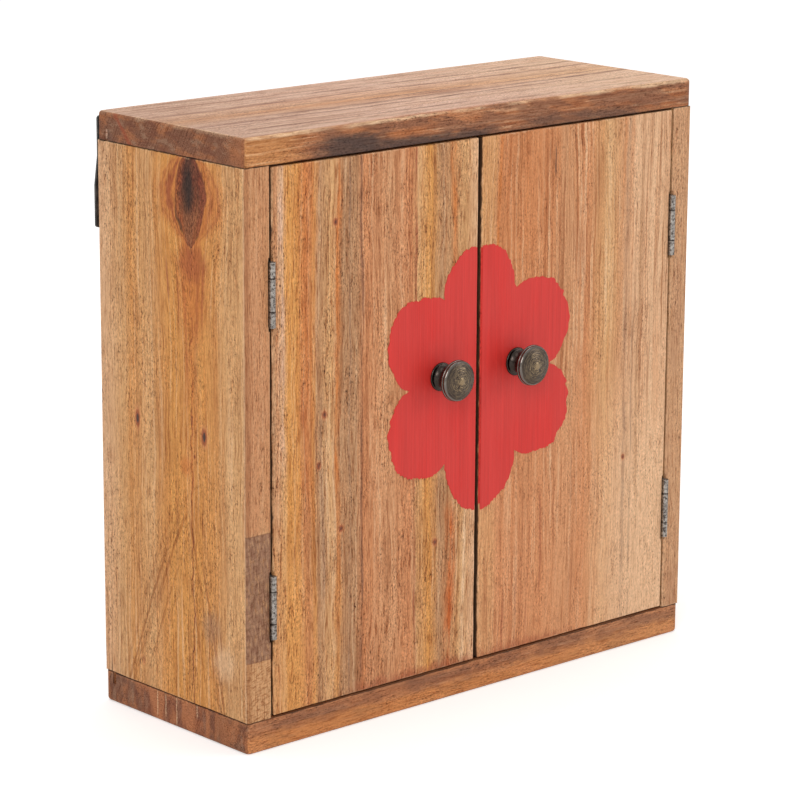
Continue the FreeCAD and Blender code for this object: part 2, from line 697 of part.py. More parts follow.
def hinge_pin(side, level):
    middle = HINGE_HEIGHTS[level]
    pin = Piece(f"{side}_{level}_hinge_pin", f"{side}_pin_x", "pin_y", f"{middle} - hinge_length / 2")
    ring = Outline(pin, "XY", f"{middle} - hinge_length / 2").circle(f"{side}_pin_x", "pin_y", "pin_radius")
    return pin.pad(ring, "hinge_length").chamfer("pin_chamfer", is_ring)


for side, level in HINGES:
    keep(hinge_leaf(side, level, "frame"))
    keep(hinge_leaf(side, level, "door"))
    keep(hinge_pin(side, level))


# Doors
def door(side):
    sense = SENSE[side]
    panel = block(f"{side}_door", (f"{side}_door_left", f"{side}_door_right"),
                  ("front_face", "door_inner"), ("door_low", "door_top"))
    ends = either(lies_at("z", panel.level("z", "door_low")), lies_at("z", panel.level("z", "door_top")))
    level_edges = either(runs_along("x"), runs_along("y"))
    panel.fillet("door_round", either(runs_along("z"), both(ends, level_edges)))
    seat_hinges(panel, side, f"{side}_door_{side}", -sense)
    knob_spot = [(f"{side}_knob_x", "knob_height")]
    holes(panel, "XZ", "front_face", knob_spot, "knob_hole_radius", "door_thick", 1)
    strike_spot = [(f"{sense} * magnet_offset", "strike_low + strike_screw_rise")]
    return holes(panel, "XZ", "door_inner", strike_spot, "leaf_screw_radius + screw_clear",
                 "strike_screw_length", -1)


for side in SIDES:
    keep(door(side))


# Knobs: turned about an axis square to the door
def knob(side):
    rim_inner = "knob_head_radius - knob_rim_wide"
    ring_inner = f"{rim_inner} - knob_ring_wide"
    ring_floor = "knob_rim_top - knob_ring_deep"
    button_top = "knob_crown + knob_button_high"
    profile = [("knob_bore_radius", "0"), ("knob_base_radius", "0"), ("knob_base_radius", "knob_base_high"),
               ("knob_foot_radius", "knob_base_high"), ("knob_neck_radius", "knob_neck_at"),
               ("knob_head_radius", "knob_under"), ("knob_head_radius", "knob_rim_top"),
               (rim_inner, "knob_rim_top"), (rim_inner, ring_floor), (ring_inner, ring_floor),
               (ring_inner, "knob_rim_top"), ("knob_button_radius", "knob_crown"),
               ("knob_button_radius", button_top), ("0", button_top),
               ("0", "knob_bore_depth"), ("knob_bore_radius", "knob_bore_depth")]
    bends = {3: ("knob_neck_bend", 1), 4: ("knob_flare_bend", 1), 10: ("knob_crown_bend", -1)}
    piece = turned(f"{side}_knob", profile, bends)
    head = knob_edge("knob_head_radius", "knob_rim_top")
    piece.fillet("knob_rim_round", either(head, knob_edge("knob_head_radius", "knob_under")))
    piece.fillet("knob_button_high / 2", knob_edge("knob_button_radius", button_top))
    piece.fillet("knob_base_high / 2", knob_edge("knob_base_radius", "knob_base_high"))
    place_turned(piece, f"{side}_knob_x", "front_face", "knob_height", POINTING["+y"])
    return piece


def knob_edge(radius, height):
    """Edge test: the ring of one radius at one height."""
    at_height = lies_at("z", value(height))
    return lambda edge: at_height(edge) and abs(edge.BoundBox.XMax - value(radius)) < TOLERANCE


def place_turned(piece, x, y, z, rotation):
    """Stand a turned piece at its place, with its axis turned as given."""
    piece.body.Placement = FreeCAD.Placement(Vector(), rotation)
    for axis, text in zip("xyz", (x, y, z)):
        piece.body.setExpression(f"Placement.Base.{axis}", formula(text))
    doc.recompute()


def knob_screw(side):
    piece = pan_screw(f"{side}_knob_screw", "knob_screw_radius", "door_thick + knob_screw_grip",
                      "knob_screw_head_radius", "knob_screw_head_high")
    place_turned(piece, f"{side}_knob_x", "door_inner", "knob_height", POINTING["-y"])
    return piece


for side in SIDES:
    keep(knob(side))
    keep(knob_screw(side))


# Strike plates for the catch, on the doors' inner faces
def strike_plate(side):
    middle = f"{SENSE[side]} * magnet_offset"
    plate = block(f"{side}_strike_plate",
                  (f"{middle} - strike_width / 2", f"{middle} + strike_width / 2"),
                  ("door_inner", "strike_face"), ("strike_low", "strike_top"))
    plate.fillet("strike_round", runs_along("y"))
    spot = [(middle, "strike_low + strike_screw_rise")]
    holes(plate, "XZ", "strike_face", spot, "leaf_screw_radius + screw_clear", "strike_thick", -1)
    return plate.chamfer("sunk_head", both(is_ring, lies_at("y", plate.level("y", "strike_face"))))


for side in SIDES:
    keep(strike_plate(side))

# Twin magnetic catch under the top board, which also stops the doors
housing = keep(block("catch_housing", ("-catch_width / 2", "catch_width / 2"),
                     ("catch_front", "catch_back"), ("catch_low", "ceiling")))
housing.fillet("catch_round", either(runs_along("z"), lies_at("z", housing.level("z", "catch_low"))))
for sense in SENSE.values():
    start = "catch_width / 2 - catch_round" if sense > 0 else "-catch_width / 2 - ear_width"
    ear = Outline(housing, "XY", "ceiling - ear_thick")
    ear.rectangle(start, "catch_front + catch_round", f"{start} + ear_width + catch_round",
                  "catch_back - catch_round")
    housing.pad(ear, "ear_thick")
holes(housing, "XY", "ceiling - ear_thick", catch_spots, "catch_screw_radius + screw_clear", "ear_thick", 1)
for sense in SENSE.values():
    middle = f"{sense} * magnet_offset"
    pack = Outline(housing, "XZ", "catch_front")
    pack.rectangle(f"{middle} - magnet_width / 2 - pole_play", "pack_middle - pack_high / 2 - pole_play",
                   f"{middle} + magnet_width / 2 + pole_play", "pack_middle + pack_high / 2 + pole_play")
    housing.pocket(pack, "magnet_deep", 1)

magnet = block("magnet", ("0", "magnet_width"), ("0", "magnet_deep"), ("0", "magnet_high"))
pole = block("pole_plate", ("0", "magnet_width"), ("0", "magnet_deep + pole_proud"), ("0", "pole_thick"))
magnet_spots = []
pole_spots = []
for sense in SENSE.values():
    pack_x = f"{sense} * magnet_offset - magnet_width / 2"
    magnet_spots.append((pack_x, "catch_front", "pack_middle - magnet_high / 2", "-z"))
    pole_spots.append((pack_x, "pole_front", "pack_middle + magnet_high / 2", "-z"))
    pole_spots.append((pack_x, "pole_front", "pack_middle - pack_high / 2", "-z"))
group("catch_magnets", magnet, magnet_spots)
group("catch_pole_plates", pole, pole_spots)


# Hangers: a joggled steel strip with a keyhole in its free lower part
def hanger(side):
    middle = f"{side}_hanger_x"
    edge = f"{middle} - hanger_width / 2"
    strip = Piece(f"{side}_hanger", edge, "back_face", "hanger_low")
    profile = Outline(strip, "YZ", edge)
    profile.path([("back_face", "hanger_top"), ("back_face", "hanger_bend_high"),
                  ("tongue_inner", "hanger_bend_low"), ("tongue_inner", "hanger_low"),
                  ("tongue_outer", "hanger_low"), ("tongue_outer", "hanger_bend_low"),
                  ("hanger_outer", "hanger_bend_high"), ("hanger_outer", "hanger_top")])
    strip.pad(profile, "hanger_width")
    bends = [lies_at("z", strip.level("z", place)) for place in ("hanger_bend_high", "hanger_bend_low")]
    strip.fillet("hanger_bend", both(runs_along("x"), either(*bends)))
    strip.fillet("hanger_round", runs_along("y"))
    seat = "keyhole_z + keyhole_slot_length"
    entry = Outline(strip, "XZ", "tongue_outer").circle(middle, "keyhole_z", "keyhole_radius")
    strip.pocket(entry, "hanger_thick", -1)
    slot = Outline(strip, "XZ", "tongue_outer")
    slot.rectangle(f"{middle} - keyhole_slot_radius", "keyhole_z", f"{middle} + keyhole_slot_radius", seat)
    strip.pocket(slot, "hanger_thick", -1)
    round_end = Outline(strip, "XZ", "tongue_outer").circle(middle, seat, "keyhole_slot_radius")
    strip.pocket(round_end, "hanger_thick", -1)
    spots = [(middle, f"hanger_top - {drop}") for drop in HANGER_SCREW_DROPS]
    return holes(strip, "XZ", "hanger_outer", spots, "hanger_screw_radius + screw_clear",
                 "hanger_thick", -1)


HANGER_SCREW_DROPS = ("hanger_screw_high", "hanger_screw_low")
for side in SIDES:
    keep(hanger(side))

# Fasteners
dowel = turned("dowel", [("0", "-dowel_length / 2"), ("dowel_radius - dowel_chamfer", "-dowel_length / 2"),
                         ("dowel_radius", "dowel_chamfer - dowel_length / 2"),
                         ("dowel_radius", "dowel_length / 2 - dowel_chamfer"),
                         ("dowel_radius - dowel_chamfer", "dowel_length / 2"), ("0", "dowel_length / 2")])
group("carcass_dowels", dowel,
      [(f"{side}_middle", row, end, "-z")
       for side in SIDES for row in dowel_rows() for end in ("floor", "ceiling")])

nail = turned("nail", [("0", "nail_head_high"), ("nail_head_radius", "nail_head_high"),
                       ("nail_head_radius", "0"), ("nail_radius", "0"),
                       ("nail_radius", "nail_point - nail_length"), ("0", "-nail_length")])
group("shelf_nails", nail, [(x, row, "shelf_height", "-z") for x, row in nail_spots])

OUTWARD = {"left": "-x", "right": "+x"}
INWARD = {"left": "+x", "right": "-x"}
cleat_screw = sunk_screw("cleat_screw", "cleat_screw_radius", "cleat_screw_length")
group("cleat_screws", cleat_screw,
      [(f"{side}_inner - {SENSE[side]} * cleat_thick", row, "cleat_middle", OUTWARD[side])
       for side in SIDES for row in CLEAT_SCREW_ROWS])

leaf_screw = sunk_screw("leaf_screw", "leaf_screw_radius", "leaf_screw_length")


def leaf_screws(side, sense, pointing):
    """Screws of the leaves on one side of a pair of hinge pins."""
    face = f"{side}_pin_x + {sense} * leaf_spacing / 2"
    return [(face, depth, height, pointing)
            for level in HINGE_HEIGHTS for depth, height in leaf_screw_spots(level)]


group("frame_hinge_screws", leaf_screw,
      [spot for side in SIDES for spot in leaf_screws(side, SENSE[side], OUTWARD[side])])
for side in SIDES:
    group(f"{side}_door_hinge_screws", leaf_screw, leaf_screws(side, -SENSE[side], INWARD[side]))

strike_screw = sunk_screw("strike_screw", "leaf_screw_radius", "strike_screw_length")
for side in SIDES:
    group(f"{side}_strike_screw", strike_screw,
          [(f"{SENSE[side]} * magnet_offset", "strike_face", "strike_low + strike_screw_rise", "-y")])

catch_screw = pan_screw("catch_screw", "catch_screw_radius", "catch_screw_length",
                        "catch_screw_head_radius", "catch_screw_head_high")
group("catch_screws", catch_screw, [(x, y, "ceiling - ear_thick", "+z") for x, y in catch_spots])

hanger_screw = pan_screw("hanger_screw", "hanger_screw_radius", "hanger_screw_length",
                         "hanger_screw_head_radius", "hanger_screw_head_high")
group("hanger_screws", hanger_screw,
      [(f"{side}_hanger_x", "hanger_outer", f"hanger_top - {drop}", "-y")
       for side in SIDES for drop in HANGER_SCREW_DROPS])

# Check everything, then write one file for each sub-part
doc.recompute()
failed = [item.Label for item in doc.Objects if {"Invalid", "Error"} & set(item.State)]
failed += [item.Label for item in pieces + groups if item.Shape.isNull() or not item.Shape.isValid()]
if failed:
    raise ValueError(f"failed: {', '.join(failed)}")
os.makedirs("parts", exist_ok=True)
for item in pieces + groups:
    item.Shape.exportStep(f"parts/{item.Label}.step")
print(len(pieces) + len(groups), "sub-parts written")
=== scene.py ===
import json
from itertools import product
from math import cos, exp, pi, radians, sin, sqrt, tau
import bmesh
import bpy
from mathutils import Matrix, Vector, noise


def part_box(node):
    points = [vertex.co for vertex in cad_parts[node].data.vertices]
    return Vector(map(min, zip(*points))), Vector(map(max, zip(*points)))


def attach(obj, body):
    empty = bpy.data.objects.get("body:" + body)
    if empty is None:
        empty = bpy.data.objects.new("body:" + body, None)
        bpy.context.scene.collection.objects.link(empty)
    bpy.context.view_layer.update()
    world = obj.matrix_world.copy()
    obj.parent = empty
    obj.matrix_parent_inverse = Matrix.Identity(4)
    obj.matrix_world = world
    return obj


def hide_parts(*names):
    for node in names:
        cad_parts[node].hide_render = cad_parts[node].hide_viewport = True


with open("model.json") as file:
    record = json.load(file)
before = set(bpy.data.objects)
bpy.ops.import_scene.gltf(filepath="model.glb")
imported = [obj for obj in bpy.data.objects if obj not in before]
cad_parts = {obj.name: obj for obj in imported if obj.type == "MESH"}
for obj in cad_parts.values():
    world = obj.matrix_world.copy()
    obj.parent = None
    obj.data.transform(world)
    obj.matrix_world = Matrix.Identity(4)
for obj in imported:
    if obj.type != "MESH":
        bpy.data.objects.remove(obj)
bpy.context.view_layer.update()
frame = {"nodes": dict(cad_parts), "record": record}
SCENE = bpy.context.scene

# Lengths are in millimetres, unless they say otherwise
MM = 0.001
AXES = "xyz"
SENSE = {"left": -1, "right": 1}

# Camera, fitted to the cabinet's edges in the photograph; lengths in metres
IMAGE_WIDTH = 800
FOCAL_PIXELS = 3318
SENSOR_WIDTH = 36
AZIMUTH = radians(-42.12)
ELEVATION = radians(13.78)
ROLL = radians(0.32)
DISTANCE = 2.259
TARGET = Vector((-0.0061, -0.0041, 0.1909))
FARTHEST = 50

# Studio: pale floor, even white surroundings and three soft lamps (name, place, width, watts)
FLOOR_SIZE = 30
FLOOR_NEAR = 0.45
FLOOR_FAR = 1.3
FLOOR_GLOW_NEAR = 0.39
FLOOR_GLOW_FAR = 0.56
WORLD_LIGHT = 0.52
WHITE = (1, 1, 1, 1)
LAMPS = [
    ("key", (-2.2, -1.9, 1.8), 1.8, 44),
    ("fill", (2.2, -2.3, 1.2), 1.8, 20),
    ("top", (0.2, 0.4, 2.6), 2.2, 21),
]

# Outer faces of the cabinet, and where its sides meet the bottom and top boards
LEFT = -200
RIGHT = 200
FRONT = -75
BACK = 75
TOP = 400
OUTER_FACES = (("x", LEFT), ("x", RIGHT), ("y", FRONT), ("y", BACK))
LOWER_JOINT = 21
UPPER_JOINT = 381

# Just past the ends of the upright boards, where long marks run out
FOOT = 20
HEAD = 390

# Left side: large knot (height, depth, half length and width) and repair in the front edge
EYE = (356, -20.5, 33, 16)
REPAIR_LOW = 61.5
REPAIR_HIGH = 145

# Painted rosette: six lobes round a middle point, one film on each door
ROSETTE_X = 1.5
ROSETTE_Z = 218.7
ROSETTE_TALL = 88
LOBES = 6
LOBE_OFFSET = 58
LOBE_RADIUS = 32
FILM_POINTS = 900
FILM_FRONT = 0.2
FILM_BACK = 0.5
FILM_EDGE = 0.9

# Ragged brush edge: size and spacing of its waves, then size, spacing and layer of its fringe
BRUSH_WAVES = ((3.2, 21), (1.8, 6))
FRINGE = 1.4
FRINGE_ACROSS = 1.3
FRINGE_DOWN = 9
FRINGE_LAYER = 3

# Turned knobs: axes, profile from the bore to the shoulder (radius, height), and the crowned face
KNOB_X = 34.25
KNOB_Z = 224.5
KNOB_PROFILE = [
    (0, 12), (2.1, 12), (2.1, 0), (9.6, 0), (9.6, 1.6), (7.6, 1.7), (5.6, 4.5), (5.0, 8),
    (5.8, 11), (9.0, 13.8), (13.2, 14.6), (13.9, 15.2), (13.8, 16.2), (13.1, 16.4), (13.7, 16.8),
    (13.4, 18.2), (12.2, 18.9)]
KNOB_FACE = 12
FACE_STEP = 0.2
KNOB_SHOULDER = 18.9
KNOB_CROWN = 1.9
KNOB_SEGMENTS = 96
BUTTON_HEIGHT = 0.25
BUTTON_RADIUS = 2.4
BUTTON_SLOPE = 6

# Fine rings on the knob's face (height, turns), and casting dents, off the foot and bore
RIPPLES = ((0.05, 5.2), (0.04, 8.3))
DENT_DEPTH = 0.12
DENT_SIZE = 2.2
DENTS_ABOVE = 1
DENTS_OUTSIDE = 3

# Hinges: middles along the door, and where the knuckles meet
HINGE_MIDDLES = (95.5, 299.3)
KNUCKLE_SEAM = 10.65

# Meshes: grid of the boards, finer near edges, and the angle from which edges are sharp
GRID_STEP = 7
EDGE_SHARES = (0, 0.3, 0.6, 1.0, 1.6)
SHARP_ANGLE = radians(38)
SEWING_METRES = 1e-6

# Reflection off the waxed wood and the paint
WAX_SHINE = 0.2
PAINT_SHINE = 0.25

# Sockets of the node that mixes two colours
MIX_SHARE, MIX_FIRST, MIX_SECOND = 0, 6, 7
MIX_RESULT = 2

# Colours of the object, as they look on it (0 to 255)
PALETTE = {
    "beige": (216, 172, 134), "rose": (210, 172, 150), "straw": (208, 160, 110),
    "honey": (206, 146, 86), "gold": (210, 148, 80), "tan": (202, 148, 106),
    "copper": (198, 134, 90), "peach": (212, 150, 106), "orange": (194, 116, 58),
    "rust": (184, 94, 40), "ash": (178, 133, 95), "drift": (150, 116, 92),
    "brown": (168, 108, 70), "umber": (126, 84, 62), "chestnut": (112, 66, 46),
    "wine": (146, 72, 46), "soot": (66, 52, 48), "char": (38, 28, 24),
    "pale": (228, 192, 154), "shadow_wood": (202, 178, 158), "deep_wood": (146, 112, 90),
    "red": (206, 56, 50), "bright_red": (208, 50, 44), "iron": (142, 136, 130),
    "dark_iron": (74, 68, 64), "worn_iron": (174, 169, 162), "bronze": (64, 56, 51),
    "dark_bronze": (56, 49, 45), "brass": (158, 136, 104), "zinc": (176, 178, 180),
    "black": (30, 30, 30), "steel": (168, 168, 166), "plastic": (92, 66, 48),
    "ply": (206, 172, 126), "ply_dark": (178, 138, 94), "beech": (222, 190, 148),
    "floor": (236, 234, 232),
}


def tint(name):
    """A palette colour in linear light."""
    linear = []
    for level in PALETTE[name]:
        share = level / 255
        linear.append(share / 12.92 if share <= 0.04045 else ((share + 0.055) / 1.055) ** 2.4)
    return (*linear, 1)


def feed(tree, socket, content):
    """Set a socket to a value, or link it to a field or a node's output."""
    if isinstance(content, Field):
        content = content.socket
    if isinstance(content, bpy.types.NodeSocket):
        tree.links.new(content, socket)
    else:
        socket.default_value = content


def add_node(tree, kind, inputs=None, **settings):
    made = tree.nodes.new(kind)
    for name, setting in settings.items():
        setattr(made, name, setting)
    for name, content in (inputs or {}).items():
        feed(tree, made.inputs[name], content)
    return made


def operator(operation, turned=False):
    """A method of Field that makes one node of arithmetic."""
    def apply(*terms):
        return terms[0].finish.math(operation, *(terms[::-1] if turned else terms))
    return apply


class Field:
    """A value over the surface that takes part in plain arithmetic."""

    def __init__(self, finish, socket):
        self.finish = finish
        self.socket = socket

    __add__ = __radd__ = operator("ADD")
    __sub__ = operator("SUBTRACT")
    __rsub__ = operator("SUBTRACT", turned=True)
    __mul__ = operator("MULTIPLY")
    __truediv__ = operator("DIVIDE")
    __abs__ = operator("ABSOLUTE")


class Finish:
    """One material, worked out from a point of the object in millimetres."""

    INPUTS = {"roughness": "Roughness", "metallic": "Metallic", "shine": "Specular IOR Level"}

    def __init__(self, name, base):
        self.material = bpy.data.materials.new(name)
        self.material.use_nodes = True
        self.tree = self.material.node_tree
        self.surface = self.tree.nodes["Principled BSDF"]
        self.colour = tint(base)
        place = add_node(self.tree, "ShaderNodeTexCoord").outputs["Object"]
        parts = add_node(self.tree, "ShaderNodeSeparateXYZ", {"Vector": place})
        for axis in AXES:
            setattr(self, axis, Field(self, parts.outputs[axis.upper()]) * (1 / MM))

    def math(self, operation, *terms):
        made = add_node(self.tree, "ShaderNodeMath", dict(enumerate(terms)), operation=operation)
        return Field(self, made.outputs[0])

    def noise(self, x, y, z, detail=2, roughness=0.5):
        """Cloudy value from 0 to 1, with features about one unit apart."""
        where = add_node(self.tree, "ShaderNodeCombineXYZ", {"X": x, "Y": y, "Z": z}).outputs[0]
        settings = {"Vector": where, "Scale": 1, "Detail": detail, "Roughness": roughness}
        return Field(self, add_node(self.tree, "ShaderNodeTexNoise", settings).outputs[0])

    def mottle(self, size, detail=2, roughness=0.5):
        """Cloudy value with features of one size."""
        return self.noise(self.x / size, self.y / size, self.z / size, detail, roughness)

    def step(self, field, start, stop):
        """Smooth rise from 0 at start to 1 at stop."""
        ends = {"Value": field, "From Min": start, "From Max": stop}
        made = add_node(self.tree, "ShaderNodeMapRange", ends, interpolation_type="SMOOTHSTEP")
        return Field(self, made.outputs[0])

    def bell(self, offset, width):
        """1 where the offset is 0, falling away over the width."""
        share = offset / width
        return self.math("EXPONENT", share * share * -1)

    def within(self, field, low, high, soft):
        """1 between two places, with soft ends."""
        return self.step(field, low - soft, low + soft) * self.step(field, high + soft, high - soft)

    def largest(self, first, *others):
        for other in others:
            first = self.math("MAXIMUM", first, other)
        return first

    def blend(self, share, first, second, mode="MIX"):
        inputs = {MIX_SHARE: share, MIX_FIRST: first, MIX_SECOND: second}
        made = add_node(self.tree, "ShaderNodeMix", inputs, data_type="RGBA", blend_type=mode)
        return Field(self, made.outputs[MIX_RESULT])

    def ramp(self, place, stops):
        """Colours by name at rising places from 0 to 1."""
        made = add_node(self.tree, "ShaderNodeValToRGB", {"Fac": place})
        elements = made.color_ramp.elements
        while len(elements) < len(stops):
            elements.new(0.5)
        for element, (position, colour) in zip(elements, stops):
            element.position = position
            element.color = tint(colour)
        return Field(self, made.outputs[0])

    def relief(self, height, depth, strength):
        """Small bumps of one depth."""
        settings = {"Height": height, "Strength": strength, "Distance": depth * MM}
        bump = add_node(self.tree, "ShaderNodeBump", settings)
        self.tree.links.new(bump.outputs[0], self.surface.inputs["Normal"])

    def mark(self, share, colour):
        """Lay a colour over those before it."""
        self.colour = self.blend(share, self.colour, tint(colour))

    def tone(self, share, colour):
        """Darken with a colour."""
        self.colour = self.blend(share, self.colour, tint(colour), "MULTIPLY")

    def shade(self, factor):
        self.colour = self.blend(1, self.colour, factor, "MULTIPLY")

    def done(self, **inputs):
        """The material, with its colour and the given inputs."""
        feed(self.tree, self.surface.inputs["Base Color"], self.colour)
        for name, content in inputs.items():
            feed(self.tree, self.surface.inputs[self.INPUTS[name]], content)
        return self.material


class Wood(Finish):
    """Waxed reclaimed board: bands, stripes, fibres and pores along one axis, then its marks."""

    # Features of the grain: width, length, and detail and roughness of their outlines
    GRAIN = {
        "drift": (45, 150), "sway": (14, 55), "waver": (4, 14), "wander": (7, 13),
        "cloud": (20, 46, 3), "ragged": (4, 9, 3), "breaks": (5, 40), "coarse": (15, 60),
        "hue": (3.4, 190), "lively": (26, 90), "stripe": (2.0, 150, 4, 0.62),
        "fleck": (0.9, 14, 2, 0.6), "pepper": (0.95, 2.1, 2, 0.7)}
    # How far the slow waves bend the grain sideways
    BENDS = {"drift": 9, "sway": 3.5, "waver": 1.8}
    # Keeps boards with different seeds out of each other's grain
    SEED_SHIFT = 911
    # Depths between which marks on a face and on the end grain fade out
    FACE_SKIN = (1.8, 0.9)
    END_SKIN = (1.8, 0.7)

    def __init__(self, name, node, along, across, bands, seed, stripes=0.7, pores=1.0, eye=None):
        super().__init__(name, bands[0][1])
        corners = [[place / MM for place in corner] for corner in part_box(node)]
        self.low, self.high = [dict(zip(AXES, corner)) for corner in corners]
        self.along = getattr(self, along)
        self.across = getattr(self, across)
        self.depth = getattr(self, next(axis for axis in AXES if axis not in along + across))
        self.run = self.along + seed * self.SEED_SHIFT
        self.line = self.across
        bends = [(self.grain(name) - 0.5) * reach for name, reach in self.BENDS.items()]
        self.line = sum(bends, self.across)
        if eye:
            self.line = self.line - self.flow(*eye)
        for feature in ("cloud", "stripe", "fleck", "pepper"):
            setattr(self, feature, self.grain(feature))
        self.ragged = self.grain("ragged") - 0.5
        self.broken = self.step(self.grain("breaks"), 0.34, 0.6) * 0.8 + 0.2
        self.pores = pores
        self.smooth = 1
        edge, span = self.low[across], self.high[across] - self.low[across]
        stops = [((position - edge) / span, colour) for position, colour in bands]
        self.colour = self.ramp((self.line - edge) / span, stops)
        self.stripes(stripes)

    def grain(self, feature):
        """Cloudy value drawn out along the grain."""
        width, length, *outline = self.GRAIN[feature]
        return self.noise(self.line / width, self.depth / width, self.run / length, *outline)

    def flow(self, along, across, half_long, half_wide):
        """How far the grain is pushed aside by a large knot."""
        offset = self.across - across
        near = self.bell(self.along - along, half_long * 1.3)
        fading = self.math("EXPONENT", abs(offset) / (half_wide * -1.4))
        return self.math("SIGN", offset) * near * fading * half_wide

    def stripes(self, strength):
        """Orange, grey, dark and pale lines along the grain, livelier in places."""
        hue = self.grain("hue")
        lively = (self.step(self.grain("lively"), 0.3, 0.65) + 0.35) * strength
        self.mark(self.step(hue, 0.54, 0.70) * (0.28 * strength), "orange")
        self.mark(self.step(hue, 0.46, 0.30) * (0.3 * strength), "ash")
        self.tone(self.step(self.cloud, 0.46, 0.72) * 0.35, "shadow_wood")
        self.tone(self.step(self.stripe, 0.50, 0.66) * lively * 0.8, "shadow_wood")
        self.mark(self.step(self.stripe, 0.48, 0.34) * lively * 0.4, "pale")

    def on_face(self, axis, place):
        """1 on the board's face at one place along an axis."""
        return self.step(abs(getattr(self, axis) - place), *self.FACE_SKIN)

    def inward(self, axis):
        """Distance to the nearer of the board's two faces across an axis."""
        field = getattr(self, axis)
        return self.math("MINIMUM", field - self.low[axis], self.high[axis] - field)

    def streak(self, at, low, high, width, colour, strength, soft=12):
        """Coloured line along the grain, fainter here and there."""
        share = self.bell(self.line - at + self.ragged * width, width) * self.broken
        share = share * self.within(self.along + self.ragged * soft, low, high, soft)
        self.mark(share * strength, colour)

    def streaks(self, *rows):
        for row in rows:
            self.streak(*row)

    def reach(self, along, across, reach_along, reach_across):
        """Ragged oval distance from a point, 1 at its rim."""
        down = (self.along - along) / reach_along
        over = (across - self.across) / reach_across
        return self.math("SQRT", down * down + over * over) + self.ragged * 0.8

    def spot(self, along, across, reach_along, reach_across, colour, strength):
        """Stain with a soft rim."""
        reach = self.reach(along, across, reach_along, reach_across)
        self.mark(self.step(reach, 1.2, 0.3) * strength, colour)

    def knot(self, along, across, reach_along, reach_across, heart=0.6):
        """Small dark knot with a rusty rim."""
        reach = self.reach(along, across, reach_along, reach_across)
        self.mark(self.step(reach, 2.6, 1.2) * 0.5, "copper")
        self.mark(self.step(reach, 1.6, 0.9) * 0.8, "wine")
        self.mark(self.step(reach, 0.9, 0.4) * heart, "soot")

    def eye(self, along, across, half_long, half_wide):
        """Large pointed knot: black heart, brown flank, dark rim below and rusty rings."""
        down = (self.along - along) / half_long
        narrowing = self.math("MAXIMUM", 1 - down * down, 0.02)
        wander = self.grain("wander") - 0.5
        over = (self.across - across) / half_wide + wander * 0.5 + self.ragged * 0.2
        reach = abs(over) / narrowing
        behind = self.step(over, -0.2, 0.4)
        below = self.step(down, 0.1, -0.5)
        self.mark(self.step(reach + self.ragged, 2.8, 1.0) * 0.7, "orange")
        self.mark(self.bell(reach - 1.35 + self.ragged * 0.4, 0.16) * (behind * 0.4 + 0.4), "wine")
        self.mark(self.bell(reach - 1.8 + self.ragged * 0.5, 0.12) * 0.4, "wine")
        self.mark(self.step(reach, 1.06, 0.88), "chestnut")
        self.mark(self.step(reach + self.ragged * 0.6, 0.95, 0.6) * below * 0.5, "brown")
        self.mark(self.bell(reach - 0.78, 0.12) * behind * 0.6, "orange")
        flank = self.step(reach + wander * 2 + self.ragged, 0.3, 0.9) * self.step(reach, 1.0, 0.85)
        self.mark(flank * 0.6, "wine")
        heart = self.reach(along + half_long * 0.15, across + half_wide * 0.15,
                           half_long * 0.6, half_wide * 0.46)
        self.mark(self.step(heart, 1.2, 0.3) * 0.9, "char")
        self.tone(self.step(self.pepper, 0.42, 0.6) * self.step(reach, 1.0, 0.8) * 0.8, "deep_wood")
        lowest = self.step(down, -0.6, -0.85)
        rim = self.bell(reach - 1, 0.1) * self.largest(behind * below, lowest)
        self.mark(rim * 0.9, "char")

    def arch(self, along, across, spread, skew, strength):
        """Nested growth rings that open downwards."""
        offset = self.across - across + self.ragged * 3
        sunk = self.math("MAXIMUM", along - self.along, 0)
        width = self.math("POWER", sunk, 0.8) * (self.math("SIGN", offset) * skew + spread)
        from_rim = abs(offset) - width
        rings = self.noise(from_rim / 3.2, 4, self.run / 160, 3, 0.6)
        share = self.step(rings, 0.46, 0.60) * self.bell(from_rim + 5, 13) * self.step(sunk, 0, 14)
        self.tone(share * strength, "shadow_wood")

    def end_grain(self, width, height):
        """Mottled dark ends of a level board; width and height are those of the mottles."""
        ends = self.step(self.inward("x"), *self.END_SKIN)
        mottles = self.noise(self.y / width, self.z / height, 8, 3, 0.6)
        swirl = self.noise(self.y / 32 + self.z / 26, self.z / 14 - self.y / 45, 2, 3, 0.6)
        saw = self.noise((self.y + self.z * 0.6) / 1.4, self.z / 30, 5, 2, 0.6)
        self.mark(ends, "umber")
        self.mark(ends * self.step(swirl, 0.46, 0.62) * 0.75, "brown")
        self.tone(ends * self.step(saw, 0.45, 0.7), "shadow_wood")
        self.mark(ends * self.step(mottles, 0.52, 0.64) * 0.7, "chestnut")
        self.mark(ends * self.step(mottles, 0.46, 0.34) * 0.6, "drift")
        return ends

    def arris(self, share, colour, width=2.2):
        """Worn edges: the two smallest distances to the board's faces, added up."""
        nearest = [self.inward(axis) for axis in AXES]
        edge = nearest[0] + nearest[1] + nearest[2] - self.largest(*nearest)
        worn = self.step(edge + self.ragged * 2.5, width, width * 0.2) * self.step(self.cloud, 0.36, 0.6)
        self.mark(worn * share, colour)

    def joint(self, height):
        """Dark line along a joint round the outside of the box."""
        line = self.step(abs(self.z - height) + self.ragged * 1.6, 0.8, 0.1)
        outside = self.largest(*[self.on_face(axis, place) for axis, place in OUTER_FACES])
        self.mark(line * outside * 0.7, "char")

    def gap_shade(self, axis, strength):
        """Painted shade on the edges of a door, just behind its front face, where they show in the gaps.
        """
        sunk = self.y - self.low["y"] + self.ragged * 4
        behind = self.step(sunk, 0.4, 1.6) * self.step(sunk, 8.5, 4.5)
        self.mark(self.step(self.inward(axis), 1.2, 0.5) * behind * strength, "char")

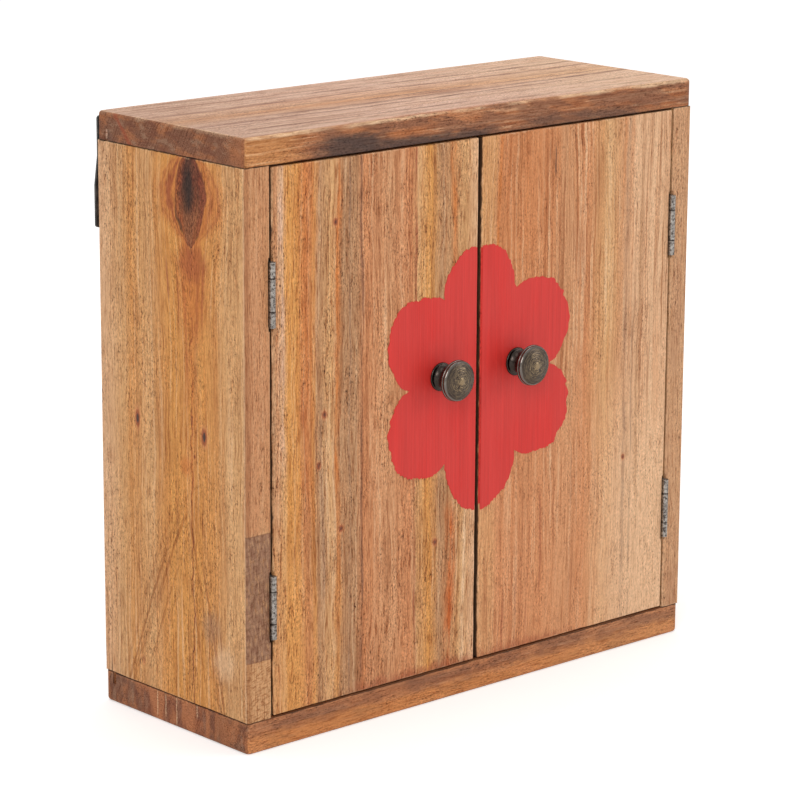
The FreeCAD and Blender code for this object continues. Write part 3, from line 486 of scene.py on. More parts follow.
    def foot_stain(self, strength, where):
        """Ragged stain along the foot of a door."""
        rise = self.z - self.low["z"]
        self.mark(self.step(rise + self.ragged * 16, 9, 1) * where * strength, "wine")

    def run_over(self):
        """Paint that ran on to the rounded meeting edge of a door."""
        lowest, highest = ROSETTE_Z - ROSETTE_TALL, ROSETTE_Z + ROSETTE_TALL
        height = self.within(self.z + self.ragged * 3, lowest, highest, 0.5)
        front = self.step(self.y - self.low["y"], 1.5, 0.8)
        self.mark(self.step(abs(self.x), 4.0, 3.2) * height * front, "red")

    def finish(self, *joints):
        """The material, with dark lines along some joints, dark flecks and open pores."""
        for height in joints:
            self.joint(height)
        rough = self.step(self.grain("coarse"), 0.3, 0.7) * (self.smooth * self.pores)
        self.tone(self.step(self.fleck, 0.46, 0.70) * (0.8 * self.pores), "shadow_wood")
        self.shade((0.5 - self.pepper) * (rough * 1.4 + 0.6) + 1.04)
        open_pores = self.step(self.pepper + self.fleck * 0.5, 0.84, 1.0)
        self.tone(open_pores * (rough * 0.9 + 0.1), "deep_wood")
        self.relief(self.stripe * 0.4 + self.fleck * 0.4 - self.pepper * 0.6, 0.3, 0.6)
        return self.done(roughness=0.46 + self.pepper * 0.3, shine=WAX_SHINE)

    def finish_door(self):
        """What both doors have: worn rims, painted shade on the edges in the gaps, and paint on the
        meeting edge.
        """
        self.arris(0.4, "pale", 1.2)
        # Painted shade in the gaps: dark on the side edges, fainter on the top and bottom edges
        self.gap_shade("x", 0.9)
        self.gap_shade("z", 0.4)
        self.run_over()
        return self.finish()


def left_door_wood():
    wood = Wood("left_door_wood", "left_door", "z", "x", [
        (-178, "ash"), (-174, "tan"), (-170, "straw"), (-166, "gold"), (-158, "gold"), (-150, "copper"),
        (-144, "honey"), (-141, "ash"), (-130, "straw"), (-120, "ash"), (-108, "ash"), (-103, "copper"),
        (-80, "tan"), (-60, "copper"), (-54, "straw"), (-44, "gold"), (-34, "ash"), (-14, "straw"),
        (-2, "beige")], seed=1, stripes=0.75, pores=1.25)
    wood.streaks(
        (-170, 190, HEAD, 2.6, "rose", 0.7, 30), (-150, 150, HEAD, 7, "orange", 0.7, 30),
        (-124, 60, HEAD, 2.2, "orange", 0.95), (-104, 30, HEAD, 1.0, "umber", 0.9),
        (-114, FOOT, HEAD, 0.8, "drift", 0.7), (-56.5, FOOT, HEAD, 1.1, "wine", 0.8),
        (-24, 290, HEAD, 2.4, "orange", 0.9), (-25, FOOT, 135, 4.4, "rust", 0.95),
        (-12, 10, 120, 2.0, "pale", 0.8), (-133, 120, 215, 1.2, "pale", 0.7),
        (-127, 90, 200, 0.9, "pale", 0.6), (-153, 60, 240, 2.0, "wine", 0.45),
        (-137, 90, 230, 1.6, "drift", 0.6), (-124, FOOT, 110, 3.4, "honey", 0.7))
    wood.mark(wood.step(wood.along, 170, 100) * wood.step(wood.line, -144, -156) * 0.5, "honey")
    for along, across in ((339, -125.7), (215, -135), (182, -140), (137, -121), (112, -38)):
        wood.knot(along, across, 2.0, 1.5)
    wood.foot_stain(0.6, wood.step(wood.line, -130, -90))
    return wood.finish_door()


def right_door_wood():
    wood = Wood("right_door_wood", "right_door", "z", "x", [
        (2, "straw"), (14, "straw"), (19, "copper"), (60, "copper"), (84, "tan"), (100, "copper"),
        (122, "straw"), (136, "tan"), (146, "beige"), (160, "beige"), (181, "beige")],
        seed=2, stripes=1.05, pores=0.7)
    low_down = wood.step(wood.along, 240, 110)
    high_up = wood.step(wood.along, 240, 320)
    wood.mark(low_down * 0.4, "peach")
    wood.mark(low_down * wood.step(wood.line, 100, 140) * 0.6, "pale")
    wood.mark(high_up * wood.step(wood.line, 80, 40) * 0.25, "orange")
    wood.streaks(
        (96, FOOT, 210, 5, "copper", 0.6, 40), (62, FOOT, 90, 6, "copper", 0.5, 40),
        (19, 280, HEAD, 1.6, "orange", 0.8), (140, FOOT, HEAD, 1.8, "drift", 0.55, 40),
        (147, FOOT, 260, 1.0, "drift", 0.6, 40), (153, 60, HEAD, 1.4, "ash", 0.7, 40),
        (58, 60, 130, 0.8, "wine", 0.6), (47, 30, 80, 0.7, "wine", 0.5),
        (88, 60, 200, 0.7, "umber", 0.5, 30), (72, 265, 335, 0.9, "umber", 0.6),
        (62, 358, 371, 0.6, "soot", 0.9, 2), (68, 348, 366, 0.6, "soot", 0.8, 2),
        (36, FOOT, 75, 0.9, "wine", 0.7), (24, FOOT, 60, 0.8, "wine", 0.6))
    wood.knot(140, 139.8, 1.6, 1.2)
    wood.foot_stain(0.5, wood.step(wood.line, 110, 60))
    return wood.finish_door()


def left_side_wood():
    wood = Wood("left_side_wood", "left_side", "z", "y", [
        (FRONT, "tan"), (-72, "straw"), (-56, "straw"), (-46, "honey"), (-30, "gold"), (-14, "gold"),
        (0, "gold"), (10, "honey"), (22, "straw"), (40, "honey"), (52, "straw"), (BACK, "beige")],
        seed=3, eye=EYE)
    wood.spot(300, -22, 40, 17, "orange", 0.7)
    wood.spot(314, -22, 15, 16, "wine", 0.75)
    wood.eye(*EYE)
    for at, low, width in ((-33, 262, 1.2), (-27, 240, 1.6), (-17, 225, 1.8), (-9, 268, 1.2)):
        wood.streak(at, low, 318, width, "wine", 0.65, 24)
    wood.streak(1, 288, 314, 1.2, "wine", 0.8, 6)
    wood.streak(-22, 150, 330, 10, "orange", 0.5, 50)
    wood.knot(202.6, 36, 5, 1.9, 0.95)
    wood.knot(203, -33, 4.4, 2.2, 0.95)
    wood.spot(180, -14, 8, 7, "orange", 0.7)
    wood.spot(188, -23, 1.6, 1.2, "wine", 0.9)
    wood.arch(158, -17, 0.95, 0.30, 0.95)
    wood.spot(77, -39, 14, 11, "drift", 0.55)
    wood.spot(56, -52, 14, 13, "pale", 0.5)
    wood.spot(38, 33, 4, 2.5, "wine", 0.5)
    wood.streak(67.5, 0, 30, 0.5, "char", 0.9, 2)
    wood.arris(0.4, "pale", 1.6)
    repaired_edge(wood)
    return wood.finish(LOWER_JOINT, UPPER_JOINT)


def repaired_edge(wood):
    """Front edge of the left side, with a brown curly repair and rippled wood below it."""
    front = wood.on_face("y", FRONT)
    above = front * wood.step(wood.z, REPAIR_HIGH - 2, REPAIR_HIGH + 5)
    below = front * wood.step(wood.z, REPAIR_HIGH + 2, REPAIR_HIGH - 2)
    wave = wood.noise(wood.x / 4.5 + wood.z / 11, 3, wood.z / 1.5 - wood.x / 6, 2, 0.6)
    wood.mark(below * 0.7, "straw")
    wood.mark(front * 0.35, "ash")
    wood.mark(above * 0.3, "copper")
    wood.tone(above * 0.15, "shadow_wood")
    wood.mark(wood.bell(wood.y - (FRONT + 1.6) + wood.ragged, 0.9) * 0.5, "pale")
    wood.tone(front * wood.step(wood.x + wood.ragged * 1.5, LEFT + 5, LEFT + 1) * 0.6, "shadow_wood")
    height = wood.z + wood.ragged * 1.2
    repair = front * wood.within(height, REPAIR_LOW, REPAIR_HIGH, 0.5)
    curl = wood.noise(wood.x / 2.2 + wood.z / 26, 9, wood.z / 7 + wood.x / 9, 3, 0.6)
    wood.mark(repair, "drift")
    wood.mark(repair * 0.12, "brown")
    wood.mark(repair * wood.step(curl, 0.48, 0.6) * 0.7, "umber")
    wood.mark(repair * wood.step(curl, 0.48, 0.34) * 0.85, "ash")
    wood.tone(repair * wood.step(wave, 0.5, 0.66) * 0.6, "shadow_wood")
    middle, half = (REPAIR_LOW + REPAIR_HIGH) / 2, (REPAIR_HIGH - REPAIR_LOW) / 2
    wood.mark(front * wood.bell(abs(height - middle) - half, 0.5) * 0.7, "umber")
    wood.smooth = 1 - front * 0.4 - repair * 0.4
    lowest = wood.step(wood.z, REPAIR_LOW + 2.5, REPAIR_LOW - 3.5)
    wood.tone(below * wood.step(wave, 0.46, 0.66) * lowest * 0.9, "shadow_wood")


def right_side_wood():
    wood = Wood("right_side_wood", "right_side", "z", "y", [
        (FRONT, "straw"), (-40, "straw"), (0, "tan"), (40, "honey"), (BACK, "straw")], seed=4)
    wood.streak(-30, FOOT, HEAD, 2.5, "orange", 0.6, 40)
    wood.streak(22, FOOT, HEAD, 1.2, "umber", 0.5, 40)
    wood.knot(262, 14, 4, 2.4)
    front = wood.on_face("y", FRONT)
    wood.mark(front * 0.3, "rose")
    wood.tone(front * 0.3, "shadow_wood")
    wood.arris(0.3, "pale", 1.6)
    return wood.finish(LOWER_JOINT, UPPER_JOINT)


def top_wood():
    wood = Wood("top_wood", "top_board", "x", "y", [
        (FRONT, "brown"), (-72.5, "brown"), (-71, "rose"), (-20, "rose"), (0, "tan"), (30, "rose"),
        (BACK, "rose")], seed=5, stripes=1.0)
    top = wood.on_face("z", TOP)
    wood.mark(top * wood.step(wood.x, 0, 190) * 0.4, "pale")
    wood.mark(top * wood.step(wood.x, -20, LEFT) * 0.3, "drift")
    lines = ((-52, -190, 10, 1.4), (-25, LEFT, 120, 1.8), (-15, -150, RIGHT, 2.2),
             (-4, -60, 190, 1.6), (24, LEFT, RIGHT, 1.6), (41, -100, RIGHT, 1.3))
    for line in lines:
        wood.streak(*line, "umber", 0.95, 30)
    for at in (-62, -40, 8, 50, 64):
        wood.streak(at, LEFT, RIGHT, 2.4, "drift", 0.5, 40)
    ends = wood.end_grain(11, 6)
    diagonal = wood.y - 39 - (wood.z - 380) * 0.88 + wood.ragged * 4
    wood.mark(ends * wood.bell(diagonal, 2.2) * 0.8, "wine")
    wood.mark(ends * wood.step(wood.y, -52, -70) * 0.5, "brown")
    front = wood.on_face("y", FRONT)
    figure = wood.noise(wood.x / 34, 5, wood.z / 7 + wood.x / 60, 3, 0.6)
    wood.mark(front * wood.step(wood.x, -140, -175) * 0.45, "honey")
    wood.mark(front * wood.step(figure, 0.4, 0.56) * wood.step(wood.x, -170, -130) * 0.75, "umber")
    height = wood.z + wood.ragged * 8
    for rise, start, stop, strength in ((396, -140, -84, 0.9), (389, -90, 10, 0.85), (391, 36, 150, 0.5)):
        share = wood.step(height, rise, rise - 6) * wood.within(wood.x + wood.ragged * 24, start, stop, 16)
        wood.mark(front * share * strength, "soot")
    wood.arris(wood.step(wood.z, 383, 387) * (0.85 - ends * 0.6), "pale", 3.2)
    return wood.finish(UPPER_JOINT)


def bottom_wood():
    wood = Wood("bottom_wood", "bottom_board", "x", "y", [
        (FRONT, "brown"), (-70, "brown"), (0, "tan"), (BACK, "brown")], seed=6)
    ends = wood.end_grain(4, 22)
    plot = wood.noise(wood.y / 12, 3, wood.z / 40, 2, 0.6)
    middle = wood.within(wood.y + wood.ragged * 8, -36, 36, 10)
    wood.mark(ends * wood.step(plot, 0.46, 0.56) * 0.6, "brown")
    wood.mark(ends * wood.step(plot, 0.46, 0.36) * 0.5, "drift")
    wood.mark(ends * middle * wood.step(plot, 0.5, 0.6) * 0.5, "copper")
    wood.mark(ends * middle * 0.2, "wine")
    for at, low in ((18.6, 2), (9.8, 4), (-1.7, 0), (-23, 11)):
        line = wood.bell(wood.y + wood.ragged * 1.5 - at, 0.4) * wood.step(wood.z, low, low + 3)
        wood.mark(ends * line * 0.75, "pale")
    front = wood.on_face("y", FRONT)
    upper = wood.step(wood.z + wood.ragged * 10, 8, 16)
    figure = wood.noise(wood.x / 40, 2, wood.z / 6 + wood.x / 80, 3, 0.6)
    blotch = wood.noise(wood.x / 30, 6, wood.z / 14, 3, 0.6)
    wood.mark(front * wood.step(wood.z + wood.ragged * 6, 16, 6) * 0.6, "orange")
    wood.mark(front * 0.2, "copper")
    wood.mark(front * wood.step(wood.x, 20, 150) * 0.35, "tan")
    wood.mark(front * wood.step(figure, 0.5, 0.62) * 0.45, "umber")
    wood.mark(front * (1 - upper) * 0.3, "honey")
    wood.mark(front * wood.step(blotch, 0.5, 0.36) * 0.4, "copper")
    wood.mark(front * upper * (wood.step(blotch, 0.42, 0.58) * 0.4 + 0.3), "umber")
    wood.arris(wood.step(wood.z, 3, 0) * 0.5, "umber")
    wood.arris(0.4, "copper", 3)
    return wood.finish(LOWER_JOINT)


def shelf_wood(node):
    """Plain board of the shelf, or of a cleat, whose grain runs back."""
    along, across = ("x", "y") if node == "shelf" else ("y", "z")
    edges = [corner[AXES.index(across)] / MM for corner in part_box(node)]
    bands = list(zip(edges, ("straw", "honey")))
    return Wood(f"{node}_wood", node, along, across, bands, seed=7).finish()


def metal(name, base, dark, light, roughness, size):
    """Aged metal: dark patina in patches of a size, brighter where it is rubbed."""
    look = Finish(name, dark)
    patch = look.mottle(size, 4, 0.65)
    fine = look.mottle(size * 0.2)
    look.mark(look.step(patch, 0.38, 0.62), base)
    look.mark(look.step(patch * 0.6 + fine * 0.4, 0.5, 0.68) * 0.7, light)
    look.relief(patch + fine * 0.5, 0.1, 0.5)
    return look.done(metallic=1.0, roughness=roughness + fine * 0.2)


def from_knob(look):
    """Offsets and distance from the nearer knob's axis."""
    over = abs(look.x) - KNOB_X
    up = look.z - KNOB_Z
    return over, up, look.math("SQRT", over * over + up * up)


def bronze():
    """Dark turned bronze: broken rings round the knob's axis, rubbed to brass in the middle."""
    look = Finish("knob_bronze", "dark_bronze")
    over, up, out = from_knob(look)
    rings = look.noise(out / 0.55, over / out * 2.2, up / out * 2.2, 3, 0.65)
    rings = (rings - 0.5) * look.step(out, 0.8, 2.6) + 0.5
    patch = look.mottle(5, 3, 0.6)
    face = look.step(look.y, FRONT - 13, FRONT - 16)
    rim = look.step(out + patch, 12.6, 13.2) * face
    rubbed = look.step(out + patch * 8, 20, 6) * look.step(rings, 0.42, 0.62) * face
    look.mark(face * look.step(patch, 0.2, 0.6), "bronze")
    look.mark(rubbed * 0.55, "brass")
    look.mark(look.step(out, 3.4, 1.2) * face * 0.5, "brass")
    look.mark(rim * 0.38, "iron")
    look.relief(rings * (1 - rim), 0.12, 0.5)
    return look.done(metallic=1.0, roughness=0.12 + rings * (1 - rim) * 0.26)


def hinge_iron():
    """Grey iron with fine pits, and dark lines where the knuckles meet."""
    look = Finish("hinge_iron", "dark_iron")
    pits = look.mottle(1.7, 3, 0.65)
    patch = look.mottle(8)
    look.mark(look.step(pits, 0.37, 0.54), "iron")
    look.mark(look.step(pits * 0.7 + patch * 0.3, 0.5, 0.64) * 0.8, "worn_iron")
    for middle in HINGE_MIDDLES:
        look.mark(look.bell(abs(look.z - middle) - KNUCKLE_SEAM, 0.5) * 0.9, "char")
    look.relief(pits, 0.1, 0.5)
    return look.done(metallic=1.0, roughness=0.36 + pits * 0.2)


def coated(name, base, dark, roughness):
    """Even coat with a faint mottle."""
    look = Finish(name, base)
    mottles = look.mottle(6, 3)
    look.mark(look.step(mottles, 0.4, 0.7), dark)
    look.relief(look.mottle(0.8), 0.05, 0.4)
    return look.done(roughness=roughness + mottles * 0.15)


def plywood():
    """Peeled veneer: nested rings drawn out upwards, with fine pores."""
    look = Finish("plywood", "ply")
    waver = look.noise(look.x / 9, look.y / 9, look.z / 40) - 0.5
    contour = look.noise(look.x / 95, look.y / 95, look.z / 330, 1) * 15 + waver * 0.5
    ring = look.math("PINGPONG", contour, 0.5) * 2
    pore = look.noise(look.x / 0.9, look.y, look.z / 9, 2, 0.65)
    look.mark(look.step(ring, 0.35, 1.0) * 0.75, "ply_dark")
    look.shade(1.5 - pore)
    look.relief(pore, 0.1, 0.4)
    return look.done(roughness=0.5 + pore * 0.2)


def red_paint():
    """Brushed satin paint, deeper in colour in places, with painted shade in deeper red round the knobs.
    """
    look = Finish("red_paint", "red")
    brush = look.noise(look.x / 1.2, look.y, look.z / 70, 3, 0.6)
    stroke = look.noise(look.x / 5, look.y, look.z / 110)
    thick = look.noise(look.x / 26, look.y, look.z / 60)
    # Painted shade: deeper red round each knob
    knob_shade = look.step(from_knob(look)[2] + stroke * 8, 24, 14)
    look.mark(look.largest(look.step(thick, 0.45, 0.7), knob_shade), "bright_red")
    look.shade(1.27 - brush * 0.42 - stroke * 0.18)
    look.relief(brush + stroke, 0.2, 0.8)
    return look.done(roughness=0.4 + brush * 0.16, shine=PAINT_SHINE)


def add_object(name, content):
    made = bpy.data.objects.new(name, content)
    SCENE.collection.objects.link(made)
    return made


def to_mesh(skin, name):
    mesh = bpy.data.meshes.new(name)
    skin.to_mesh(mesh)
    skin.free()
    return mesh


def place(name, mesh, material, body, slot):
    """Put a piece of the object in the scene, riding on its body."""
    mesh.shade_smooth()
    mesh.set_sharp_from_angle(angle=SHARP_ANGLE)
    mesh.materials.clear()
    mesh.materials.append(material)
    piece = add_object(name, mesh)
    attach(piece, body)
    return piece


def grid_lines(low, high, edge):
    """Places along one side of a board, closer together near its ends."""
    near = [edge * share for share in EDGE_SHARES]
    first, last = low + near[-1], high - near[-1]
    count = max(1, round((last - first) / GRID_STEP))
    inner = [first + (last - first) * number / count for number in range(1, count)]
    return [low + place for place in near] + inner + [high - place for place in reversed(near)]


def lattice(lines):
    """Closed skin of a box, with a vertex wherever grid lines cross on its faces."""
    skin = bmesh.new()
    ends = [len(places) - 1 for places in lines]
    found = {}

    def vertex(key):
        if key not in found:
            found[key] = skin.verts.new([lines[axis][key[axis]] for axis in range(3)])
        return found[key]

    for axis in range(3):
        second, third = (axis + 1) % 3, (axis + 2) % 3
        for end, column, row in product((0, ends[axis]), range(ends[second]), range(ends[third])):
            corners = []
            for right, up in ((0, 0), (1, 0), (1, 1), (0, 1)):
                key = {axis: end, second: column + right, third: row + up}
                corners.append(vertex((key[0], key[1], key[2])))
            skin.faces.new(corners if end else corners[::-1])
    return skin


class Board:
    """A plank with rounded corners and worn rims, a little uneven on its faces."""

    # Depth of the unevenness of the faces: least, and range
    SUNK = 0.03
    UNEVEN = 0.22
    # Sizes of the clouds that vary the rims, the chips and the faces
    RIM_CLOUD = 14
    CHIP_CLOUD = 21
    FACE_CLOUD = 37
    # How much a rim varies, and where in its cloud a chip begins
    RIM_RANGE = 0.5
    CHIP_START = 0.25
    SEED_STEPS = (31.7, 17.3, 53.9)
    TOUCHING = 1e-6

    def __init__(self, node, axis, corner, rims, chips, seed):
        self.node = node
        self.low, self.high = [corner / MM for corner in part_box(node)]
        self.axis = AXES.index(axis)
        self.plane = [number for number in range(3) if number != self.axis]
        self.corner = corner
        self.rims = rims
        self.chips = chips
        self.seed = Vector([seed * step for step in self.SEED_STEPS])

    def cloud(self, point, size):
        return noise.noise(Vector(point) / size + self.seed)

    def outline(self, point):
        """Round the corners; give the inset from the outline and its outward normal."""
        core = [min(max(point[k], self.low[k] + self.corner), self.high[k] - self.corner)
                for k in self.plane]
        offset = Vector([point[k] - place for k, place in zip(self.plane, core)])
        if offset.x and offset.y:
            offset *= max(abs(offset.x), abs(offset.y)) / offset.length
            for k, place, move in zip(self.plane, core, offset):
                point[k] = place + move
            return self.corner - offset.length, offset.normalized()
        insets = []
        for number, k in enumerate(self.plane):
            for inset, sense in ((point[k] - self.low[k], -1), (self.high[k] - point[k], 1)):
                normal = Vector((0, 0))
                normal[number] = sense
                insets.append((inset, normal))
        return min(insets, key=lambda entry: entry[0])

    def worn(self, place):
        """Where a point of the sharp box lies on the worn board, in metres."""
        point = list(place)
        inset, normal = self.outline(point)
        from_low = point[self.axis] - self.low[self.axis]
        from_high = self.high[self.axis] - point[self.axis]
        rise, sense, rim = min((from_low, 1, self.rims[0]), (from_high, -1, self.rims[1]))
        rim *= 1 + self.RIM_RANGE * self.cloud(point, self.RIM_CLOUD)
        rim += self.chips * max(0, self.cloud(point, self.CHIP_CLOUD) - self.CHIP_START)
        inward = self.SUNK + self.UNEVEN * (0.5 + 0.5 * self.cloud(point, self.FACE_CLOUD))
        push = inward if inset < self.TOUCHING else 0
        lift = inward if rise < self.TOUCHING else 0
        if inset < rim and rise < rim:
            arm = Vector((rim - inset, rim - rise))
            arm *= rim / arm.length
            push += rim - arm.x - inset
            lift += rim - arm.y - rise
        for number, k in enumerate(self.plane):
            point[k] -= normal[number] * push
        point[self.axis] += sense * lift
        return Vector(point) * MM

    def mesh(self):
        edge = max(self.corner, *self.rims)
        skin = lattice([grid_lines(self.low[k], self.high[k], edge) for k in range(3)])
        for vertex in skin.verts:
            vertex.co = self.worn(vertex.co)
        return to_mesh(skin, self.node)


def shared(mesh, tool):
    """What two closed meshes have in common."""
    work = add_object("work", mesh)
    cutter = add_object("cutter", tool)
    modifier = work.modifiers.new("cut", "BOOLEAN")
    modifier.operation = "INTERSECT"
    modifier.solver = "MANIFOLD"
    modifier.object = cutter
    bpy.context.view_layer.update()
    graph = bpy.context.evaluated_depsgraph_get()
    result = bpy.data.meshes.new_from_object(work.evaluated_get(graph))
    for item in (work, cutter):
        bpy.data.objects.remove(item)
    for used in (mesh, tool):
        bpy.data.meshes.remove(used)
    return result


def solid_copy(node):
    """The node's solid, with its faces sewn together."""
    skin = bmesh.new()
    skin.from_mesh(frame["nodes"][node].data)
    bmesh.ops.remove_doubles(skin, verts=skin.verts, dist=SEWING_METRES)
    return to_mesh(skin, f"{node}_solid")


def add_board(board, material):
    """A worn board that keeps the grooves, mortises and holes of its solid."""
    bodies = frame["record"]["behaviour"]["bodies"]
    body = next(body for body, nodes in bodies.items() if board.node in nodes)
    mesh = shared(board.mesh(), solid_copy(board.node))
    piece = place(f"worn_{board.node}", mesh, material, body, "reclaimed_wood")
    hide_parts(board.node)


def rosette_reach(angle):
    """Distance from the middle to the outline, ragged as a brush leaves it."""
    turn = tau / LOBES
    from_lobe = (angle - pi / 2 + turn / 2) % turn - turn / 2
    sideways = LOBE_OFFSET * sin(from_lobe)
    reach = LOBE_OFFSET * cos(from_lobe) + sqrt(LOBE_RADIUS ** 2 - sideways ** 2)
    spot = Vector((cos(angle), sin(angle), 0)) * reach
    waves = sum(size * noise.noise(spot / spacing) for size, spacing in BRUSH_WAVES)
    fringe = Vector((spot.x / FRINGE_ACROSS, spot.y / FRINGE_DOWN, FRINGE_LAYER))
    return reach + waves + FRINGE * noise.noise(fringe)


def film_outline(side):
    """Outline of the paint on one door, kept off the meeting edge's rounding."""
    low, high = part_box(f"{side}_door")
    limit = (high.x if side == "left" else low.x) / MM + SENSE[side] * FILM_EDGE
    points = []
    for number in range(FILM_POINTS):
        angle = pi / 2 + tau * number / FILM_POINTS
        reach = rosette_reach(angle)
        x = ROSETTE_X + reach * cos(angle)
        if (x - limit) * SENSE[side] > 0:
            points.append((x, ROSETTE_Z + reach * sin(angle)))
    return [(limit, points[0][1])] + points + [(limit, points[-1][1])]


def add_film(side, material):
    """The paint on one door, let in a little below its face."""
    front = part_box(f"{side}_door")[0].y
    skin = bmesh.new()
    outline = [(x * MM, front - FILM_FRONT * MM, z * MM) for x, z in film_outline(side)]
    face = skin.faces.new([skin.verts.new(point) for point in outline])
    grown = bmesh.ops.extrude_face_region(skin, geom=[face])
    moved = [item for item in grown["geom"] if isinstance(item, bmesh.types.BMVert)]
    bmesh.ops.translate(skin, verts=moved, vec=(0, (FILM_FRONT + FILM_BACK) * MM, 0))
    bmesh.ops.triangulate(skin, faces=skin.faces)
    bmesh.ops.recalc_face_normals(skin, faces=skin.faces)
    place(f"{side}_paint", to_mesh(skin, f"{side}_paint"), material, f"{side}_door", "red_paint")


def rounded(corners, passes=2):
    """The line through some corners, with the corners cut to curves."""
    for _ in range(passes):
        cut = [corners[0]]
        for first, second in zip(corners, corners[1:]):
            for share in (0.25, 0.75):
                cut.append(tuple(a + (b - a) * share for a, b in zip(first, second)))
        corners = cut + [corners[-1]]
    return corners


def knob_line():
    """Half section of the knob, from its bore round to the middle of its face."""
    line = rounded(KNOB_PROFILE)
    for number in range(1, round(KNOB_FACE / FACE_STEP)):
        radius = KNOB_FACE - number * FACE_STEP
        crown = KNOB_CROWN * (1 - (radius / KNOB_FACE) ** 2)
        button = BUTTON_HEIGHT / (1 + exp((radius - BUTTON_RADIUS) * BUTTON_SLOPE))
        ripple = sum(height * sin(radius * turns) for height, turns in RIPPLES)
        line.append((radius, KNOB_SHOULDER + crown + button + ripple))
    return line + [(0, KNOB_SHOULDER + KNOB_CROWN + BUTTON_HEIGHT)]


def add_knob(side, material):
    """The knob turned about its axis, with the small dents of a casting."""
    axis = Vector((SENSE[side] * KNOB_X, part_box(f"{side}_door")[0].y / MM, KNOB_Z))
    skin = bmesh.new()
    rows = []
    for radius, height in knob_line():
        row = []
        for number in range(KNOB_SEGMENTS if radius else 1):
            angle = tau * number / KNOB_SEGMENTS
            point = Vector((radius * cos(angle), -height, radius * sin(angle)))
            if height > DENTS_ABOVE and radius > DENTS_OUTSIDE:
                point.y += DENT_DEPTH * noise.noise(point / DENT_SIZE + axis)
            row.append(skin.verts.new((axis + point) * MM))
        rows.append(row)
    for row, after in zip(rows, rows[1:]):
        for number in range(KNOB_SEGMENTS):
            following = (number + 1) % KNOB_SEGMENTS
            corners = [row[number % len(row)], row[following % len(row)],
                       after[following % len(after)], after[number % len(after)]]
            skin.faces.new(list(dict.fromkeys(corners)))
    bmesh.ops.recalc_face_normals(skin, faces=skin.faces)
    mesh = to_mesh(skin, f"{side}_knob")
    piece = place(f"turned_{side}_knob", mesh, material, f"{side}_door", "knob_bronze")
    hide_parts(f"{side}_knob")


def finish_solids():
    """Finishes of the solids that stay, by their material slots."""
    finishes = {
        "plywood": plywood(),
        "dowel_wood": coated("dowel_wood", "beech", "straw", 0.6),
        "hinge_iron": hinge_iron(),
        "black_steel": coated("black_steel", "black", "dark_iron", 0.45),
        "screw_steel": metal("screw_steel", "zinc", "iron", "worn_iron", 0.35, 2),
        "strike_steel": metal("strike_steel", "steel", "iron", "zinc", 0.35, 5),
        "catch_plastic": coated("catch_plastic", "plastic", "umber", 0.45),
        "magnet": coated("magnet", "dark_iron", "black", 0.5),
    }
    for subpart in frame["record"]["subparts"]:
        solid = frame["nodes"][subpart["node"]]
        if solid.hide_render:
            continue
        slot = subpart["material_slot"]
        look = finishes[slot] if slot in finishes else shelf_wood(subpart["node"])
        solid.data.materials.clear()
        solid.data.materials.append(look)


def add_camera():
    back = Vector((sin(AZIMUTH) * cos(ELEVATION),
                   -cos(AZIMUTH) * cos(ELEVATION),
                   sin(ELEVATION)))
    level = Vector((cos(AZIMUTH), sin(AZIMUTH), 0))
    upright = back.cross(level)
    right = cos(ROLL) * level + sin(ROLL) * upright
    up = cos(ROLL) * upright - sin(ROLL) * level
    camera = add_object("camera", bpy.data.cameras.new("camera"))
    camera.data.sensor_width = SENSOR_WIDTH
    camera.data.lens = FOCAL_PIXELS / IMAGE_WIDTH * SENSOR_WIDTH
    camera.data.clip_end = FARTHEST
    turn = Matrix((right, up, back)).transposed().to_4x4()
    camera.matrix_world = Matrix.Translation(TARGET + back * DISTANCE) @ turn
    SCENE.camera = camera


def seen_directly(tree):
    """1 for rays from the camera, mirrors and glass, 0 for light that falls on the object."""
    path = add_node(tree, "ShaderNodeLightPath")
    total = path.outputs["Is Camera Ray"]
    for name in ("Is Glossy Ray", "Is Transmission Ray"):
        terms = {0: total, 1: path.outputs[name]}
        total = add_node(tree, "ShaderNodeMath", terms, operation="MAXIMUM").outputs[0]
    return total


def add_world():
    world = bpy.data.worlds.new("studio")
    SCENE.world = world
    world.use_nodes = True
    tree = world.node_tree
    light = tree.nodes["Background"]
    light.inputs["Color"].default_value = WHITE
    light.inputs["Strength"].default_value = WORLD_LIGHT
    white = add_node(tree, "ShaderNodeBackground", {"Color": WHITE, "Strength": 1})
    shaders = {0: seen_directly(tree), 1: light.outputs[0], 2: white.outputs[0]}
    mix = add_node(tree, "ShaderNodeMixShader", shaders)
    tree.links.new(mix.outputs[0], tree.nodes["World Output"].inputs["Surface"])


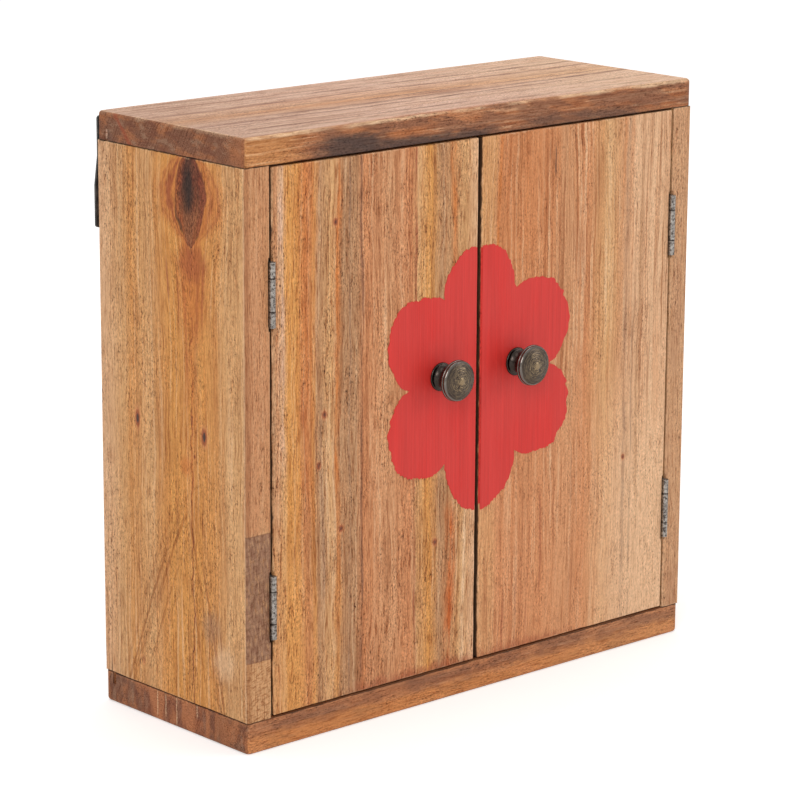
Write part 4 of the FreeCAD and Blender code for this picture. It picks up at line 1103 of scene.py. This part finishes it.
def add_floor():
    """White floor with the object's soft shadow; its glow makes up for the lamps further out."""
    skin = bmesh.new()
    bmesh.ops.create_grid(skin, x_segments=1, y_segments=1, size=FLOOR_SIZE / 2)
    floor = add_object("floor", to_mesh(skin, "floor"))
    material = bpy.data.materials.new("floor")
    material.use_nodes = True
    tree = material.node_tree
    tree.nodes.remove(tree.nodes["Principled BSDF"])
    spot = add_node(tree, "ShaderNodeTexCoord").outputs["Object"]
    away = add_node(tree, "ShaderNodeVectorMath", {0: spot}, operation="LENGTH")
    rise = add_node(tree, "ShaderNodeMapRange", {
        "Value": away.outputs["Value"], "From Min": FLOOR_NEAR, "From Max": FLOOR_FAR,
        "To Min": FLOOR_GLOW_NEAR, "To Max": FLOOR_GLOW_FAR})
    factors = {0: seen_directly(tree), 1: rise.outputs[0]}
    level = add_node(tree, "ShaderNodeMath", factors, operation="MULTIPLY")
    diffuse = add_node(tree, "ShaderNodeBsdfDiffuse", {"Color": tint("floor")})
    glow = add_node(tree, "ShaderNodeEmission", {"Color": WHITE, "Strength": level.outputs[0]})
    both = add_node(tree, "ShaderNodeAddShader", {0: diffuse.outputs[0], 1: glow.outputs[0]})
    tree.links.new(both.outputs[0], tree.nodes["Material Output"].inputs["Surface"])
    floor.data.materials.append(material)


def add_lamps():
    for name, spot, width, watts in LAMPS:
        lamp = add_object(name, bpy.data.lights.new(name, "AREA"))
        lamp.data.shape = "DISK"
        lamp.data.size = width
        lamp.data.energy = watts
        lamp.location = spot
        aim = TARGET - Vector(spot)
        lamp.rotation_euler = aim.to_track_quat("-Z", "Y").to_euler()


# Worn boards: node, axis through the thickness, corners, rims at its low and high end, chips, seed
BOARDS = [
    (Board("top_board", "z", 2.5, (0.4, 1.6), 1.6, 1), top_wood),
    (Board("bottom_board", "z", 2.5, (1.2, 0.4), 1.5, 2), bottom_wood),
    (Board("left_side", "x", 0.4, (1.0, 0.4), 1.0, 3), left_side_wood),
    (Board("right_side", "x", 0.4, (0.4, 1.0), 1.0, 4), right_side_wood),
    (Board("left_door", "y", 1, (0.75, 1), 1.5, 5), left_door_wood),
    (Board("right_door", "y", 1, (0.75, 1), 1.5, 6), right_door_wood),
]
for board, wood in BOARDS:
    add_board(board, wood())
paint = red_paint()
for side in SENSE:
    add_film(side, paint)
knob_finish = bronze()
for side in SENSE:
    add_knob(side, knob_finish)
finish_solids()

add_camera()
add_world()
add_floor()
add_lamps()
SCENE.view_settings.view_transform = "Standard"
